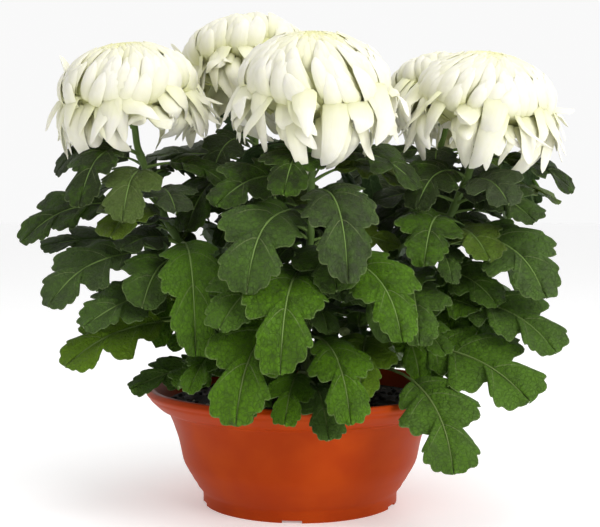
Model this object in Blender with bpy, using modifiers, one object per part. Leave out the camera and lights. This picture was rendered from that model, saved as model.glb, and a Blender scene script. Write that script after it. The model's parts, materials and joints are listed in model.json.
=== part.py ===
"""Pot chrysanthemum: five leafy stems with white incurved blooms, in a terracotta-orange bowl.

Metres, +Z up. The origin is the centre of the pot's foot, on the surface that the pot stands on,
and -Y is the side that the two nearest stems lean to.
"""

import math
import random
from dataclasses import dataclass, replace

import bmesh
import bpy
from mathutils import Matrix, Quaternion, Vector
from mathutils.bvhtree import BVHTree
from mathutils.geometry import delaunay_2d_cdt

GAP = 0.0003
UP = Vector((0.0, 0.0, 1.0))
FRONT = Vector((0.0, -0.94, 0.34))
GOLDEN_ANGLE = math.pi * (3.0 - math.sqrt(5.0))

# Pot
POT_HEIGHT = 0.098
RIM_RADIUS = 0.1305
FOOT_RADIUS = 0.0822
FOOT_HEIGHT = 0.0110
FOOT_WIDTH = 0.0037
RECESS = 0.003
FLOOR_THICKNESS = 0.0025
WALL = 0.0026
SHOULDER_RADIUS = 0.0988
SHOULDER_HEIGHT = 0.0347
POT_SIDES = 36
DRAIN_COUNT = 5
DRAIN_RADIUS = 0.005
DRAIN_CIRCLE = 0.048
NOTCH_WIDTH = 0.016
NOTCH_HEIGHT = 0.002
NOTCH_TURN = math.radians(-4.5)

# Soil
SOIL_TOP = 0.085
SOIL_MOUND = 0.003
HOLE_DEPTH = 0.040
HOLE_SIDES = 8

# Stems
STEM_BASE_RADIUS = 0.0038
STEM_TOP_RADIUS = 0.0027
RECEPTACLE_RADIUS = 0.0085
RECEPTACLE_LENGTH = 0.012
STEM_STEPS = 11

# Blooms, in parts of the bloom's radius where no unit is given
DOME_HEIGHT = 0.66
CORE_SCALE = 0.86
CORE_BOTTOM = -0.36
BALL_PETALS = 24
SKIRT_PETALS = 14
BALL_PETAL_WIDTH = 0.0112
SKIRT_PETAL_WIDTH = 0.0086
PETAL_RISE = 0.075

# Leaves
BLADE_THICKNESS = 0.0010
STALK_THICKNESS = 0.0028
STALK_SHARE = 0.24
STALK_HALF_WIDTH = 0.0015
FLAT_STALK = 0.04
FLAT_WIDTH = 0.4
LEAF_CLEARANCE = 0.0009
POT_CLEARANCE = 0.0015
# Half of the leaf's outline from the stalk to the tip: half-width, then share of the blade's length
HALF_OUTLINE = (
    (0.74, 0.22),
    (0.40, 0.335),
    (1.00, 0.42),
    (0.94, 0.57),
    (0.40, 0.665),
    (0.62, 0.85),
)
MIDRIB_SHARES = (0.14, 0.37, 0.66)
WIDENING = 1.04
STALK_TRIM = 0.80
FRONT_TURN = 0.62
FRONT_FILLING = 4
BACK_FILLING = 9


@dataclass(frozen=True)
class Shoot:
    """One stem and its bloom: where it stands in the soil, and the bloom's middle, lean and radius.

    Each stray is a petal that stands away: its heading in degrees, and its tip's reach and height
    in parts of the radius.
    """

    name: str
    root: tuple
    bloom: tuple
    lean: tuple
    radius: float
    seed: int
    strays: tuple

    @property
    def axis(self):
        return Vector(self.lean).normalized()

    @property
    def centre(self):
        return Vector(self.bloom)

    @property
    def seat(self):
        return self.centre + self.axis * (CORE_BOTTOM * self.radius - GAP)


SHOOTS = (
    Shoot(
        name="left",
        root=(-0.032, -0.014),
        bloom=(-0.140, -0.030, 0.345),
        lean=(-0.10, -0.22, 1.0),
        radius=0.058,
        seed=11,
        strays=((190, 1.22, -0.46), (160, 1.02, 0.52)),
    ),
    Shoot(
        name="front",
        root=(0.004, -0.036),
        bloom=(0.011, -0.082, 0.345),
        lean=(0.02, -0.30, 1.0),
        radius=0.060,
        seed=23,
        strays=((186, 1.18, -0.52), (340, 1.16, -0.70)),
    ),
    Shoot(
        name="right",
        root=(0.036, -0.012),
        bloom=(0.150, -0.036, 0.337),
        lean=(0.12, -0.20, 1.0),
        radius=0.058,
        seed=37,
        strays=((2, 1.27, -0.02), (200, 1.20, -0.85)),
    ),
    Shoot(
        name="back_left",
        root=(-0.016, 0.030),
        bloom=(-0.047, 0.058, 0.380),
        lean=(-0.10, 0.16, 1.0),
        radius=0.058,
        seed=41,
        strays=((186, 1.14, 0.30),),
    ),
    Shoot(
        name="back_right",
        root=(0.026, 0.030),
        bloom=(0.137, 0.092, 0.350),
        lean=(0.14, 0.22, 1.0),
        radius=0.057,
        seed=59,
        strays=((70, 1.16, -0.40),),
    ),
)


@dataclass(frozen=True)
class Leaf:
    """One stalked leaf: where it leaves its stem, its heading, its reach, tip height and width."""

    shoot: str
    height: float
    heading: float
    reach: float
    tip: float
    width: float
    arch: float = 0.020
    roll: float = 0.0
    stalk: float = 0.30
    turn: float = 0.0


@dataclass(frozen=True)
class Bud:
    """One closed flower bud on a side stalk."""

    shoot: str
    height: float
    heading: float
    reach: float
    rise: float
    radius: float


BUDS = (
    Bud("front", 0.205, 200, 0.052, 0.036, 0.0058),
    Bud("front", 0.222, 215, 0.034, 0.036, 0.0044),
    Bud("back_left", 0.190, 250, 0.040, 0.030, 0.0042),
    Bud("left", 0.160, 285, 0.030, 0.026, 0.0046),
    Bud("right", 0.120, 255, 0.048, 0.026, 0.0042),
)


def heading_vector(degrees):
    turn = math.radians(degrees)
    return Vector((math.cos(turn), math.sin(turn), 0.0))


def bezier(points, share):
    """The point at this share of a Bezier curve through its control points."""
    points = [Vector(point) for point in points]
    while len(points) > 1:
        points = [a.lerp(b, share) for a, b in zip(points, points[1:])]
    return points[0]


def shoot_of(name):
    return next(shoot for shoot in SHOOTS if shoot.name == name)


def stem_route(shoot):
    """The stem's middle line: straight up out of its hole, then leaning out to the bloom."""
    foot = Vector((*shoot.root, SOIL_TOP - HOLE_DEPTH + GAP))
    ground = Vector((*shoot.root, SOIL_TOP + SOIL_MOUND + 0.002))
    top = shoot.seat - shoot.axis * GAP
    out = Vector((top.x - ground.x, top.y - ground.y, 0.0))
    handles = (ground, ground + UP * 0.06 + out * 0.12, top - shoot.axis * 0.10, top)
    return [foot] + [bezier(handles, step / STEM_STEPS) for step in range(STEM_STEPS + 1)]


def stem_radius(index, count):
    return STEM_BASE_RADIUS + (STEM_TOP_RADIUS - STEM_BASE_RADIUS) * index / (count - 1)


def stem_point(shoot, height):
    """The point on the stem's middle line at this height above the table."""
    route = stem_route(shoot)
    for low, high in zip(route, route[1:]):
        if high.z >= height:
            return low.lerp(high, (height - low.z) / (high.z - low.z))
    return route[-1]


def tube_mesh(route, radii, sides):
    """Points and faces of a tube round a route, for the clearance tests."""
    points = []
    for index, middle in enumerate(route):
        along = route[min(index + 1, len(route) - 1)] - route[max(index - 1, 0)]
        turn = UP.rotation_difference(along.normalized())
        for side in range(sides):
            angle = 2.0 * math.pi * side / sides
            spoke = Vector((math.cos(angle), math.sin(angle), 0.0)) * radii[index]
            points.append(middle + turn @ spoke)
    faces = []
    for ring in range(len(route) - 1):
        for side in range(sides):
            a = ring * sides + side
            b = ring * sides + (side + 1) % sides
            faces.append((a, b, b + sides, a + sides))
    return points, faces


def pot_outside():
    """The pot's outer profile from the lip down to the foot: radius and height."""
    lip = RIM_RADIUS
    return [
        (lip - 0.0020, POT_HEIGHT),
        (lip, POT_HEIGHT - 0.0040),
        (lip - 0.0040, POT_HEIGHT - 0.0095),
        (lip - 0.0120, POT_HEIGHT - 0.0170),
        (lip - 0.0190, POT_HEIGHT - 0.0200),
        (lip - 0.0230, POT_HEIGHT - 0.0295),
        (SHOULDER_RADIUS + 0.0040, SHOULDER_HEIGHT + 0.0200),
        (SHOULDER_RADIUS, SHOULDER_HEIGHT),
        (FOOT_RADIUS + 0.0020, FOOT_HEIGHT),
        (FOOT_RADIUS, FOOT_HEIGHT - 0.0020),
        (FOOT_RADIUS, 0.0),
    ]


def pot_inside():
    """The pot's inner profile from its floor up to the lip."""
    return [
        (FOOT_RADIUS - WALL, RECESS + FLOOR_THICKNESS),
        (FOOT_RADIUS - WALL + 0.0015, FOOT_HEIGHT + 0.0020),
        (SHOULDER_RADIUS - WALL, SHOULDER_HEIGHT + 0.0010),
        (RIM_RADIUS - 0.0190 - WALL, POT_HEIGHT - 0.0190),
        (RIM_RADIUS - 0.0070, POT_HEIGHT - 0.0005),
    ]


def pot_inner_radius(height):
    profile = pot_inside()
    for (r0, z0), (r1, z1) in zip(profile, profile[1:]):
        if z1 >= height:
            return r0 + (r1 - r0) * (height - z0) / (z1 - z0)
    return profile[-1][0]


@dataclass(frozen=True)
class Petal:
    """A petal's middle line, half-widths at its stations, and the outward side of its back."""

    line: tuple
    half_widths: tuple
    across: Vector
    backs: tuple


def bloom_frame(shoot):
    return UP.rotation_difference(shoot.axis).to_matrix()


def dome_point(polar, azimuth, scale):
    """A point on the bloom's flattened ball, as parts of its radius."""
    height = DOME_HEIGHT if polar < math.pi / 2 else DOME_HEIGHT * 0.8
    return Vector(
        (
            math.sin(polar) * math.cos(azimuth) * scale,
            math.sin(polar) * math.sin(azimuth) * scale,
            math.cos(polar) * height * scale,
        )
    )


def ball_petal(index, draw):
    """An incurved petal: its root in the core, its back bulging out, its tip over the ones inside."""
    share = (index + 0.5) / BALL_PETALS
    polar = math.radians(14.0 + 114.0 * share**0.60)
    azimuth = index * GOLDEN_ANGLE + draw.uniform(-0.08, 0.08)
    span = math.radians(24.0 + 36.0 * share)
    swirl = draw.uniform(-0.12, 0.12)
    lift = draw.uniform(-0.012, 0.02)
    stations = ((-0.25, 0.76), (0.30, 0.95), (0.75, 1.0), (1.0, 0.975))
    line = []
    backs = []
    for along, scale in stations:
        angle = max(polar - span * along, math.radians(3.0))
        point = dome_point(angle, azimuth + swirl * along, scale + lift)
        line.append(point)
        backs.append(Vector((point.x, point.y, point.z / DOME_HEIGHT**2)).normalized())
    across = Vector((-math.sin(azimuth), math.cos(azimuth), 0.0))
    size = 0.55 + 0.45 * share
    return tuple(line), (size * 0.8, size, size * 0.72), across, tuple(backs)


def skirt_petal(index, draw):
    """A lower petal: out from under the ball, then hanging, with its tip swung out or curled in."""
    inner_row = index % 3 == 2
    azimuth = index * GOLDEN_ANGLE + draw.uniform(-0.10, 0.10)
    drop = draw.uniform(0.50, 0.95)
    swing = draw.uniform(-0.10, 0.34) - (0.24 if inner_row else 0.0)
    reach = 0.86 if inner_row else 0.98
    stations = (
        (0.60, -0.16),
        (reach - 0.04, -0.08),
        (reach + 0.08, -0.14 - 0.45 * drop),
        (reach + 0.06 + swing, -0.18 - drop),
    )
    turn = draw.uniform(-0.14, 0.14)
    line = []
    backs = []
    for step, (radius, height) in enumerate(stations):
        angle = azimuth + turn * step / 3.0
        out = Vector((math.cos(angle), math.sin(angle), 0.0))
        line.append(out * radius + UP * height)
        backs.append((out + UP * (1.2 - 0.4 * step)).normalized())
    across = Vector((-math.sin(azimuth), math.cos(azimuth), 0.0))
    return tuple(line), (0.8, 1.0, 0.75), across, tuple(backs)


def stray_petal(heading, reach, height):
    """A petal that stands away from the ball, to the given tip."""
    azimuth = math.radians(heading)
    out = heading_vector(heading)
    stations = ((0.60, -0.12), (0.93, -0.04), (reach * 0.93, height * 0.5 - 0.02), (reach, height))
    side = 1.0 if height > 0.0 else -1.0
    line = []
    backs = []
    for step, (radius, level) in enumerate(stations):
        before = stations[max(step - 1, 0)]
        after = stations[min(step + 1, len(stations) - 1)]
        line.append(out * radius + UP * level)
        back = out * (after[1] - before[1]) - UP * (after[0] - before[0])
        backs.append((back * side).normalized())
    across = Vector((-math.sin(azimuth), math.cos(azimuth), 0.0))
    return tuple(line), (0.75, 0.95, 0.62), across, tuple(backs)


def nearer_another(point, shoot, margin):
    """Whether a point of one bloom lies past the middle plane towards another bloom."""
    own = (point - shoot.centre).length - shoot.radius
    for other in SHOOTS:
        if other is shoot:
            continue
        if (point - other.centre).length - other.radius < own + margin:
            return True
    return False


def placed_petal(shape, half_width, shoot):
    """The petal in the object's frame, drawn in towards its bloom until it is clear of the others."""
    line, widths, across, backs = shape
    turn = bloom_frame(shoot)
    tuck = 1.0
    while True:
        points = []
        for station, point in enumerate(line):
            keep = 1.0 if station < 2 else tuck
            flat = Vector((point.x * keep, point.y * keep, point.z))
            points.append(shoot.centre + turn @ (flat * shoot.radius))
        if tuck < 0.7 or not any(nearer_another(p, shoot, 0.006) for p in points):
            break
        tuck -= 0.06
    return Petal(
        tuple(points),
        tuple(w * half_width for w in widths),
        turn @ across,
        tuple(turn @ back for back in backs),
    )


def petals_of(shoot):
    draw = random.Random(shoot.seed)
    petals = []
    for index in range(BALL_PETALS):
        petals.append(placed_petal(ball_petal(index, draw), BALL_PETAL_WIDTH, shoot))
    for index in range(SKIRT_PETALS):
        petals.append(placed_petal(skirt_petal(index, draw), SKIRT_PETAL_WIDTH, shoot))
    for stray in shoot.strays:
        petals.append(placed_petal(stray_petal(*stray), SKIRT_PETAL_WIDTH, shoot))
    return petals


def petal_mesh(petal, radius):
    """Points and faces of a boat-shaped solid: two edges and a keeled back at each station, then a tip."""
    points = []
    for middle, half_width, back in zip(petal.line, petal.half_widths, petal.backs):
        edge = middle - back * (PETAL_RISE * radius)
        points += [edge + petal.across * half_width, edge - petal.across * half_width, middle]
    tip = len(points)
    points.append(petal.line[-1])
    faces = [(0, 2, 1)]
    for a, b in ((0, 1), (1, 2), (2, 0)):
        for low in range(0, tip - 3, 3):
            faces += [(low + a, low + b, low + 3 + b), (low + a, low + 3 + b, low + 3 + a)]
        faces.append((tip - 3 + a, tip - 3 + b, tip))
    return points, faces


def leaf_template():
    """The flat leaf as triangles: points (side, along), faces, and which points are on the stalk."""
    blade = 1.0 - STALK_SHARE
    half = [(FLAT_STALK, 0.0), (FLAT_STALK, STALK_SHARE)]
    half += [(side, STALK_SHARE + blade * along) for side, along in HALF_OUTLINE]
    midrib = [STALK_SHARE + blade * share for share in MIDRIB_SHARES]
    loop = half + [(0.0, 1.0)] + [(-side, along) for side, along in reversed(half)]
    points = loop + [(0.0, along) for along in midrib]
    count = len(loop)
    borders = [(i, (i + 1) % count) for i in range(count)]
    spine = [len(half)] + list(range(len(points) - 1, count - 1, -1))
    ribs = list(zip(spine, spine[1:]))
    scaled = [Vector((side * FLAT_WIDTH, along)) for side, along in points]
    out = delaunay_2d_cdt(scaled, borders + ribs, [], 1, 1e-6)
    faces = []
    for face in out[2]:
        a, b, c = (out[3][corner][0] for corner in face)
        turn = (scaled[b] - scaled[a]).cross(scaled[c] - scaled[a])
        faces.append((a, b, c) if turn > 0 else (a, c, b))
    on_stalk = {i for i, (side, along) in enumerate(points) if along <= STALK_SHARE}
    return points, faces, on_stalk


def leaf_route(leaf):
    """The three control points of the leaf's midrib, from the stem's middle to the tip."""
    root = stem_point(shoot_of(leaf.shoot), leaf.height)
    out = heading_vector(leaf.heading)
    tip = root + out * leaf.reach
    tip.z = leaf.tip
    fall = max(root.z - tip.z, 0.0)
    ahead = 0.50 + 0.42 * min(fall / 0.060, 1.0)
    bend = root + out * (leaf.reach * ahead)
    bend.z = max(root.z, tip.z) + leaf.arch
    return root, bend, tip


def leaf_point(leaf, route, side, along):
    """A point of the curved blade: side is -1 to 1 across the widest part, along is 0 to 1."""
    root, bend, tip = route
    on_blade = max(along - STALK_SHARE, 0.0) / (1.0 - STALK_SHARE)
    on_stalk = along <= STALK_SHARE + 1e-6
    along = along * leaf.stalk / STALK_SHARE if on_stalk else leaf.stalk + on_blade * (1.0 - leaf.stalk)
    middle = bezier(route, along)
    forward = ((bend - root).lerp(tip - bend, along)).normalized()
    across = heading_vector(leaf.heading).cross(UP)
    normal = across.cross(forward)
    front = FRONT - forward * FRONT.dot(forward)
    twist = math.atan2(normal.cross(front).dot(forward), normal.dot(front)) * leaf.turn
    twist = (twist + math.radians(leaf.roll)) * min(along / leaf.stalk, 1.0)
    across = Quaternion(forward, twist) @ across
    normal = across.cross(forward)
    if on_stalk:
        offset = math.copysign(STALK_HALF_WIDTH, side)
    else:
        offset = side * leaf.width / 2.0
    wave = 0.05 * math.sin(9.0 * on_blade + leaf.heading) * math.copysign(side * side, side)
    rise = 0.20 * abs(offset) - 0.16 * side * side * leaf.width / 2.0 + wave * leaf.width / 2.0
    return middle + across * offset + normal * rise


def leaf_points(leaf, template):
    route = leaf_route(leaf)
    return [leaf_point(leaf, route, side, along) for side, along in template[0]]


def face_normals(points, faces):
    normals = [Vector() for _ in points]
    for a, b, c in faces:
        normal = (points[b] - points[a]).cross(points[c] - points[a])
        for corner in (a, b, c):
            normals[corner] += normal
    return [normal.normalized() for normal in normals]


def leaf_shell(points, template, blade_only):
    """The leaf's two faces, moved apart by its thickness and clearance, as a tree for overlap tests."""
    faces = template[1]
    stalk = template[2]
    if blade_only:
        faces = [face for face in faces if not stalk.intersection(face)]
    normals = face_normals(points, template[1])
    shell = []
    for sign in (1.0, -1.0):
        for index, point in enumerate(points):
            thick = STALK_THICKNESS if index in stalk else BLADE_THICKNESS
            shell.append(point + normals[index] * sign * (thick / 2.0 + LEAF_CLEARANCE))
    count = len(points)
    both = list(faces) + [(a + count, b + count, c + count) for a, b, c in faces]
    return BVHTree.FromPolygons(shell, both)


@dataclass
class Obstacle:
    """Something that a leaf keeps clear of: its tree, its box and the shoot that it grows on."""

    tree: BVHTree
    low: Vector
    high: Vector
    shoot: str


def obstacle(points, faces, shoot):
    low = Vector([min(p[i] for p in points) for i in range(3)])
    high = Vector([max(p[i] for p in points) for i in range(3)])
    return Obstacle(BVHTree.FromPolygons(points, faces), low, high, shoot)


def fixed_obstacles():
    """The pot, the stems and the blooms, each a little larger than it is."""
    found = []
    for shoot in SHOOTS:
        route = stem_route(shoot)
        radii = [stem_radius(i, len(route)) + LEAF_CLEARANCE for i in range(len(route))]
        found.append(obstacle(*tube_mesh(route, radii, 6), shoot.name))
        points = []
        faces = []
        for petal in petals_of(shoot):
            wide = replace(petal, half_widths=tuple(w + 0.001 for w in petal.half_widths))
            more, sides = petal_mesh(wide, shoot.radius)
            faces += [tuple(corner + len(points) for corner in side) for side in sides]
            points += more
        found.append(obstacle(points, faces, "bloom"))
    wall = [(radius + POT_CLEARANCE, height) for radius, height in pot_outside()]
    for radius, height in reversed(pot_inside()):
        wall.append((radius - POT_CLEARANCE, height + POT_CLEARANCE))
    points = []
    faces = []
    for side in range(POT_SIDES):
        turn = 2.0 * math.pi * side / POT_SIDES
        points += [Vector((r * math.cos(turn), r * math.sin(turn), z)) for r, z in wall]
        for step in range(len(wall) - 1):
            a = side * len(wall) + step
            b = (side + 1) % POT_SIDES * len(wall) + step
            faces.append((a, b, b + 1, a + 1))
    radius = pot_inner_radius(SOIL_TOP)
    height = SOIL_TOP + SOIL_MOUND + POT_CLEARANCE
    corners = [(radius * x, radius * y, height) for x, y in ((1, 1), (-1, 1), (-1, -1), (1, -1))]
    faces.append(tuple(range(len(points), len(points) + 4)))
    points += [Vector(corner) for corner in corners]
    found.append(obstacle(points, faces, "pot"))
    return found


def leaf_fits(leaf, template, placed):
    """The leaf's obstacles if it is clear of all that is placed, or None."""
    points = leaf_points(leaf, template)
    low = Vector([min(p[i] for p in points) for i in range(3)])
    high = Vector([max(p[i] for p in points) for i in range(3)])
    whole = None
    blade = None
    for other in placed:
        if any(low[i] - 0.003 > other.high[i] or high[i] + 0.003 < other.low[i] for i in range(3)):
            continue
        if other.shoot == leaf.shoot:
            if blade is None:
                blade = leaf_shell(points, template, True)
            if blade.overlap(other.tree):
                return None
        else:
            if whole is None:
                whole = leaf_shell(points, template, False)
            if whole.overlap(other.tree):
                return None
    return Obstacle(leaf_shell(points, template, False), low, high, leaf.shoot)


def nudges(leaf, draw, free):
    """The leaf as wanted, then the same leaf swung, raised and shortened in growing steps."""
    yield leaf
    swing = 28.0 if free else 7.0
    for step in range(1, 12 if free else 9):
        for side in (1.0, -1.0):
            turned = leaf.heading + side * swing * (0.5 * step + 0.5)
            raised = leaf.tip + draw.uniform(-0.6, 1.0) * 0.006 * step
            shrink = 1.0 - 0.035 * step
            yield replace(
                leaf,
                heading=turned,
                tip=raised,
                reach=leaf.reach * shrink,
                width=leaf.width * shrink,
                arch=leaf.arch + 0.002 * step,
            )


# Leaves that face the front: shoot, height, heading, reach, tip height, width (mm and degrees), stalk share
SEEN_LEAVES = (
    ("left", 290, 192, 96, 287, 40, 0.26),
    ("left", 272, 265, 92, 236, 44, 0.26),
    ("left", 246, 193, 114, 218, 44, 0.36),
    ("left", 206, 216, 125, 170, 50, 0.40),
    ("left", 200, 178, 128, 214, 30, 0.55),
    ("left", 172, 225, 130, 156, 48, 0.42),
    ("left", 150, 212, 144, 124, 50, 0.42),
    ("left", 216, 281, 114, 136, 50, 0.28),
    ("left", 132, 256, 134, 112, 26, 0.42),
    ("left", 106, 216, 118, 92, 36, 0.45),
    ("left", 100, 258, 142, 88, 44, 0.48),
    ("front", 284, 254, 78, 256, 44, 0.28),
    ("front", 266, 217, 90, 248, 46, 0.30),
    ("front", 242, 245, 110, 185, 60, 0.26),
    ("front", 258, 284, 104, 193, 54, 0.24),
    ("front", 204, 303, 122, 150, 50, 0.32),
    ("front", 156, 248, 136, 92, 58, 0.30),
    ("front", 186, 232, 130, 162, 54, 0.34),
    ("front", 196, 261, 132, 130, 56, 0.26),
    ("front", 142, 283, 136, 94, 42, 0.34),
    ("front", 112, 262, 114, 90, 32, 0.44),
    ("front", 104, 285, 124, 80, 38, 0.46),
    ("right", 138, 263, 116, 108, 48, 0.36),
    ("right", 250, 310, 84, 236, 44, 0.30),
    ("right", 236, 253, 94, 203, 50, 0.28),
    ("right", 220, 312, 112, 178, 60, 0.30),
    ("right", 210, 276, 92, 190, 26, 0.36),
    ("right", 272, 230, 72, 246, 42, 0.28),
    ("right", 170, 324, 144, 136, 52, 0.42),
    ("right", 132, 317, 160, 102, 66, 0.40),
    ("right", 116, 297, 146, 52, 58, 0.52),
    ("right", 182, 270, 118, 146, 48, 0.30),
    ("right", 152, 292, 112, 137, 28, 0.50),
    ("right", 102, 318, 132, 78, 30, 0.55),
    ("right", 158, 335, 100, 145, 38, 0.44),
)
# Leaves that face the back, in the same columns
BACK_LEAVES = (
    ("back_left", 158, 98, 132, 126, 60, 0.26),
    ("back_right", 176, 84, 126, 138, 58, 0.26),
    ("back_left", 112, 128, 118, 92, 54, 0.34),
    ("back_right", 110, 62, 126, 90, 56, 0.34),
    ("back_left", 226, 118, 106, 196, 54, 0.26),
)


def chosen_leaf(row, turn):
    shoot, height, heading, reach, tip, width, stalk = row
    mm = 0.001
    size = width * mm * WIDENING
    stalk *= STALK_TRIM
    return Leaf(shoot, height * mm, heading, reach * mm, tip * mm, size, stalk=stalk, turn=turn)


def filling_leaves(shoot, count, draw):
    """Leaves for the sides and the back, spiralling up the stem."""
    low = 0.104
    top = stem_route(shoot)[-1].z - 0.034
    out = math.degrees(math.atan2(shoot.bloom[1], shoot.bloom[0]))
    leaves = []
    for index in range(count):
        share = index / (count - 1)
        height = low + (top - low) * share
        heading = out + math.degrees(index * GOLDEN_ANGLE)
        reach = draw.uniform(0.095, 0.125) * (1.0 - 0.20 * share)
        tip = height - draw.uniform(0.010, 0.050) * (0.4 + 0.6 * share)
        width = reach * draw.uniform(0.46, 0.56)
        roll = draw.uniform(-12.0, 12.0)
        leaves.append(Leaf(shoot.name, height, heading, reach, tip, width, 0.022, roll))
    return leaves


def placed_leaves(template):
    """Every leaf of the plant, clear of the pot, the blooms, the other stems and one another."""
    placed = fixed_obstacles()
    stems = {shoot.name: [] for shoot in SHOOTS}
    draw = random.Random(7)
    wanted = [(chosen_leaf(row, FRONT_TURN), False) for row in SEEN_LEAVES]
    wanted += [(chosen_leaf(row, 0.0), False) for row in BACK_LEAVES]
    for shoot in SHOOTS:
        count = BACK_FILLING if shoot.name.startswith("back") else FRONT_FILLING
        wanted += [(leaf, True) for leaf in filling_leaves(shoot, count, draw)]
    for leaf, free in wanted:
        for trial in nudges(leaf, draw, free):
            found = leaf_fits(trial, template, placed)
            if found:
                placed.append(found)
                stems[leaf.shoot].append(trial)
                break
    return stems


def new_object(name, points, faces, collection):
    mesh = bpy.data.meshes.new(name)
    mesh.from_pydata([tuple(point) for point in points], [], faces)
    made = bpy.data.objects.new(name, mesh)
    collection.objects.link(made)
    return made


def object_from_bmesh(name, shape, collection):
    mesh = bpy.data.meshes.new(name)
    shape.to_mesh(mesh)
    shape.free()
    made = bpy.data.objects.new(name, mesh)
    collection.objects.link(made)
    return made


def facing_out(obj):
    """Turns the faces of a closed mesh outwards."""
    shape = bmesh.new()
    shape.from_mesh(obj.data)
    bmesh.ops.recalc_face_normals(shape, faces=shape.faces)
    shape.to_mesh(obj.data)
    shape.free()


def applied(obj):
    """Replaces the object's mesh by its evaluated one, and drops the modifiers."""
    graph = bpy.context.evaluated_depsgraph_get()
    mesh = bpy.data.meshes.new_from_object(obj.evaluated_get(graph))
    obj.modifiers.clear()
    old = obj.data
    obj.data = mesh
    bpy.data.meshes.remove(old)
    return obj


def new_collection(name, parent=None):
    made = bpy.data.collections.new(name)
    (parent or bpy.context.scene.collection).children.link(made)
    return made


def turned(name, profile, sides, collection):
    """A solid turned about Z from a profile that runs down its outer side."""
    mesh = bpy.data.meshes.new(name)
    points = [(radius, 0.0, height) for radius, height in profile]
    mesh.from_pydata(points, [(i, i + 1) for i in range(len(points) - 1)], [])
    made = bpy.data.objects.new(name, mesh)
    collection.objects.link(made)
    screw = made.modifiers.new("turn", "SCREW")
    screw.steps = screw.render_steps = sides
    screw.use_merge_vertices = True
    screw.merge_threshold = 0.00005
    return applied(made)


def tube(name, route, radii, resolution, collection):
    """A tapering tube with closed ends, as a mesh."""
    curve = bpy.data.curves.new(name, "CURVE")
    curve.dimensions = "3D"
    curve.bevel_depth = 1.0
    curve.bevel_resolution = resolution
    curve.use_fill_caps = True
    spline = curve.splines.new("POLY")
    spline.points.add(len(route) - 1)
    for point, place, radius in zip(spline.points, route, radii):
        point.co = (*place, 1.0)
        point.radius = radius
    guide = bpy.data.objects.new(name + "_line", curve)
    collection.objects.link(guide)
    graph = bpy.context.evaluated_depsgraph_get()
    mesh = bpy.data.meshes.new_from_object(guide.evaluated_get(graph))
    bpy.data.objects.remove(guide)
    bpy.data.curves.remove(curve)
    shape = bmesh.new()
    shape.from_mesh(mesh)
    bmesh.ops.remove_doubles(shape, verts=shape.verts, dist=0.000001)
    bmesh.ops.recalc_face_normals(shape, faces=shape.faces)
    bpy.data.meshes.remove(mesh)
    return object_from_bmesh(name, shape, collection)


def cut(obj, cutters):
    """Cuts every object of the collection out of this one."""
    boolean = obj.modifiers.new("cut", "BOOLEAN")
    boolean.operation = "DIFFERENCE"
    boolean.operand_type = "COLLECTION"
    boolean.collection = cutters
    return applied(obj)


def fused(obj, repeats):
    """Joins every object of the collection to this one, and removes them."""
    boolean = obj.modifiers.new("fuse", "BOOLEAN")
    boolean.operation = "UNION"
    boolean.operand_type = "COLLECTION"
    boolean.collection = repeats
    boolean.solver = "MANIFOLD"
    applied(obj)
    for piece in list(repeats.objects):
        bpy.data.objects.remove(piece)
    bpy.data.collections.remove(repeats)
    return keep_largest(obj)


def keep_largest(obj):
    """Drops the loose scraps that fusing left."""
    shape = bmesh.new()
    shape.from_mesh(obj.data)
    unseen = set(shape.verts)
    islands = []
    while unseen:
        edge = [unseen.pop()]
        island = set(edge)
        while edge:
            vert = edge.pop()
            for link in vert.link_edges:
                other = link.other_vert(vert)
                if other in unseen:
                    unseen.remove(other)
                    island.add(other)
                    edge.append(other)
        islands.append(island)
    islands.sort(key=len)
    scraps = [vert for island in islands[:-1] for vert in island]
    bmesh.ops.delete(shape, geom=scraps, context="VERTS")
    shape.to_mesh(obj.data)
    shape.free()
    return obj


def material(name, colour, roughness):
    made = bpy.data.materials.new(name)
    made.use_nodes = True
    shader = made.node_tree.nodes["Principled BSDF"]
    shader.inputs["Base Color"].default_value = (*colour, 1.0)
    shader.inputs["Roughness"].default_value = roughness
    shader.inputs["Metallic"].default_value = 0.0
    made.diffuse_color = (*colour, 1.0)
    return made


def dressed(obj, finish, smooth_angle=None):
    obj.data.materials.clear()
    obj.data.materials.append(finish)
    if smooth_angle:
        obj.data.shade_smooth()
        obj.data.set_sharp_from_angle(angle=math.radians(smooth_angle))
    return obj


def build_pot(parts, cutters):
    under = [(FOOT_RADIUS - FOOT_WIDTH, 0.0), (FOOT_RADIUS - FOOT_WIDTH, RECESS), (0.0, RECESS)]
    floor = [(0.0, RECESS + FLOOR_THICKNESS)]
    pot = turned("pot", floor + pot_inside() + pot_outside() + under, POT_SIDES, parts)
    holes = new_collection("pot_cutters", cutters)
    for index in range(DRAIN_COUNT):
        turn = NOTCH_TURN + 2.0 * math.pi * index / DRAIN_COUNT
        middle = Vector((math.sin(turn), -math.cos(turn), 0.0))
        place = Matrix.Translation(middle * DRAIN_CIRCLE)
        shape = bmesh.new()
        bmesh.ops.create_cone(
            shape,
            cap_ends=True,
            segments=8,
            radius1=DRAIN_RADIUS,
            radius2=DRAIN_RADIUS,
            depth=0.03,
            matrix=place,
        )
        object_from_bmesh(f"drain_cutter_{index}", shape, holes)
        shape = bmesh.new()
        block = Matrix.Diagonal((NOTCH_WIDTH, 0.02, 2.0 * NOTCH_HEIGHT, 1.0))
        place = Matrix.Translation(middle * FOOT_RADIUS) @ Matrix.Rotation(turn, 4, "Z")
        bmesh.ops.create_cube(shape, size=1.0, matrix=place @ block)
        object_from_bmesh(f"notch_cutter_{index}", shape, holes)
    cut(pot, holes)
    hide(holes)
    return pot


def hide(collection):
    for obj in collection.objects:
        obj.hide_render = True
        obj.display_type = "WIRE"


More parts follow.
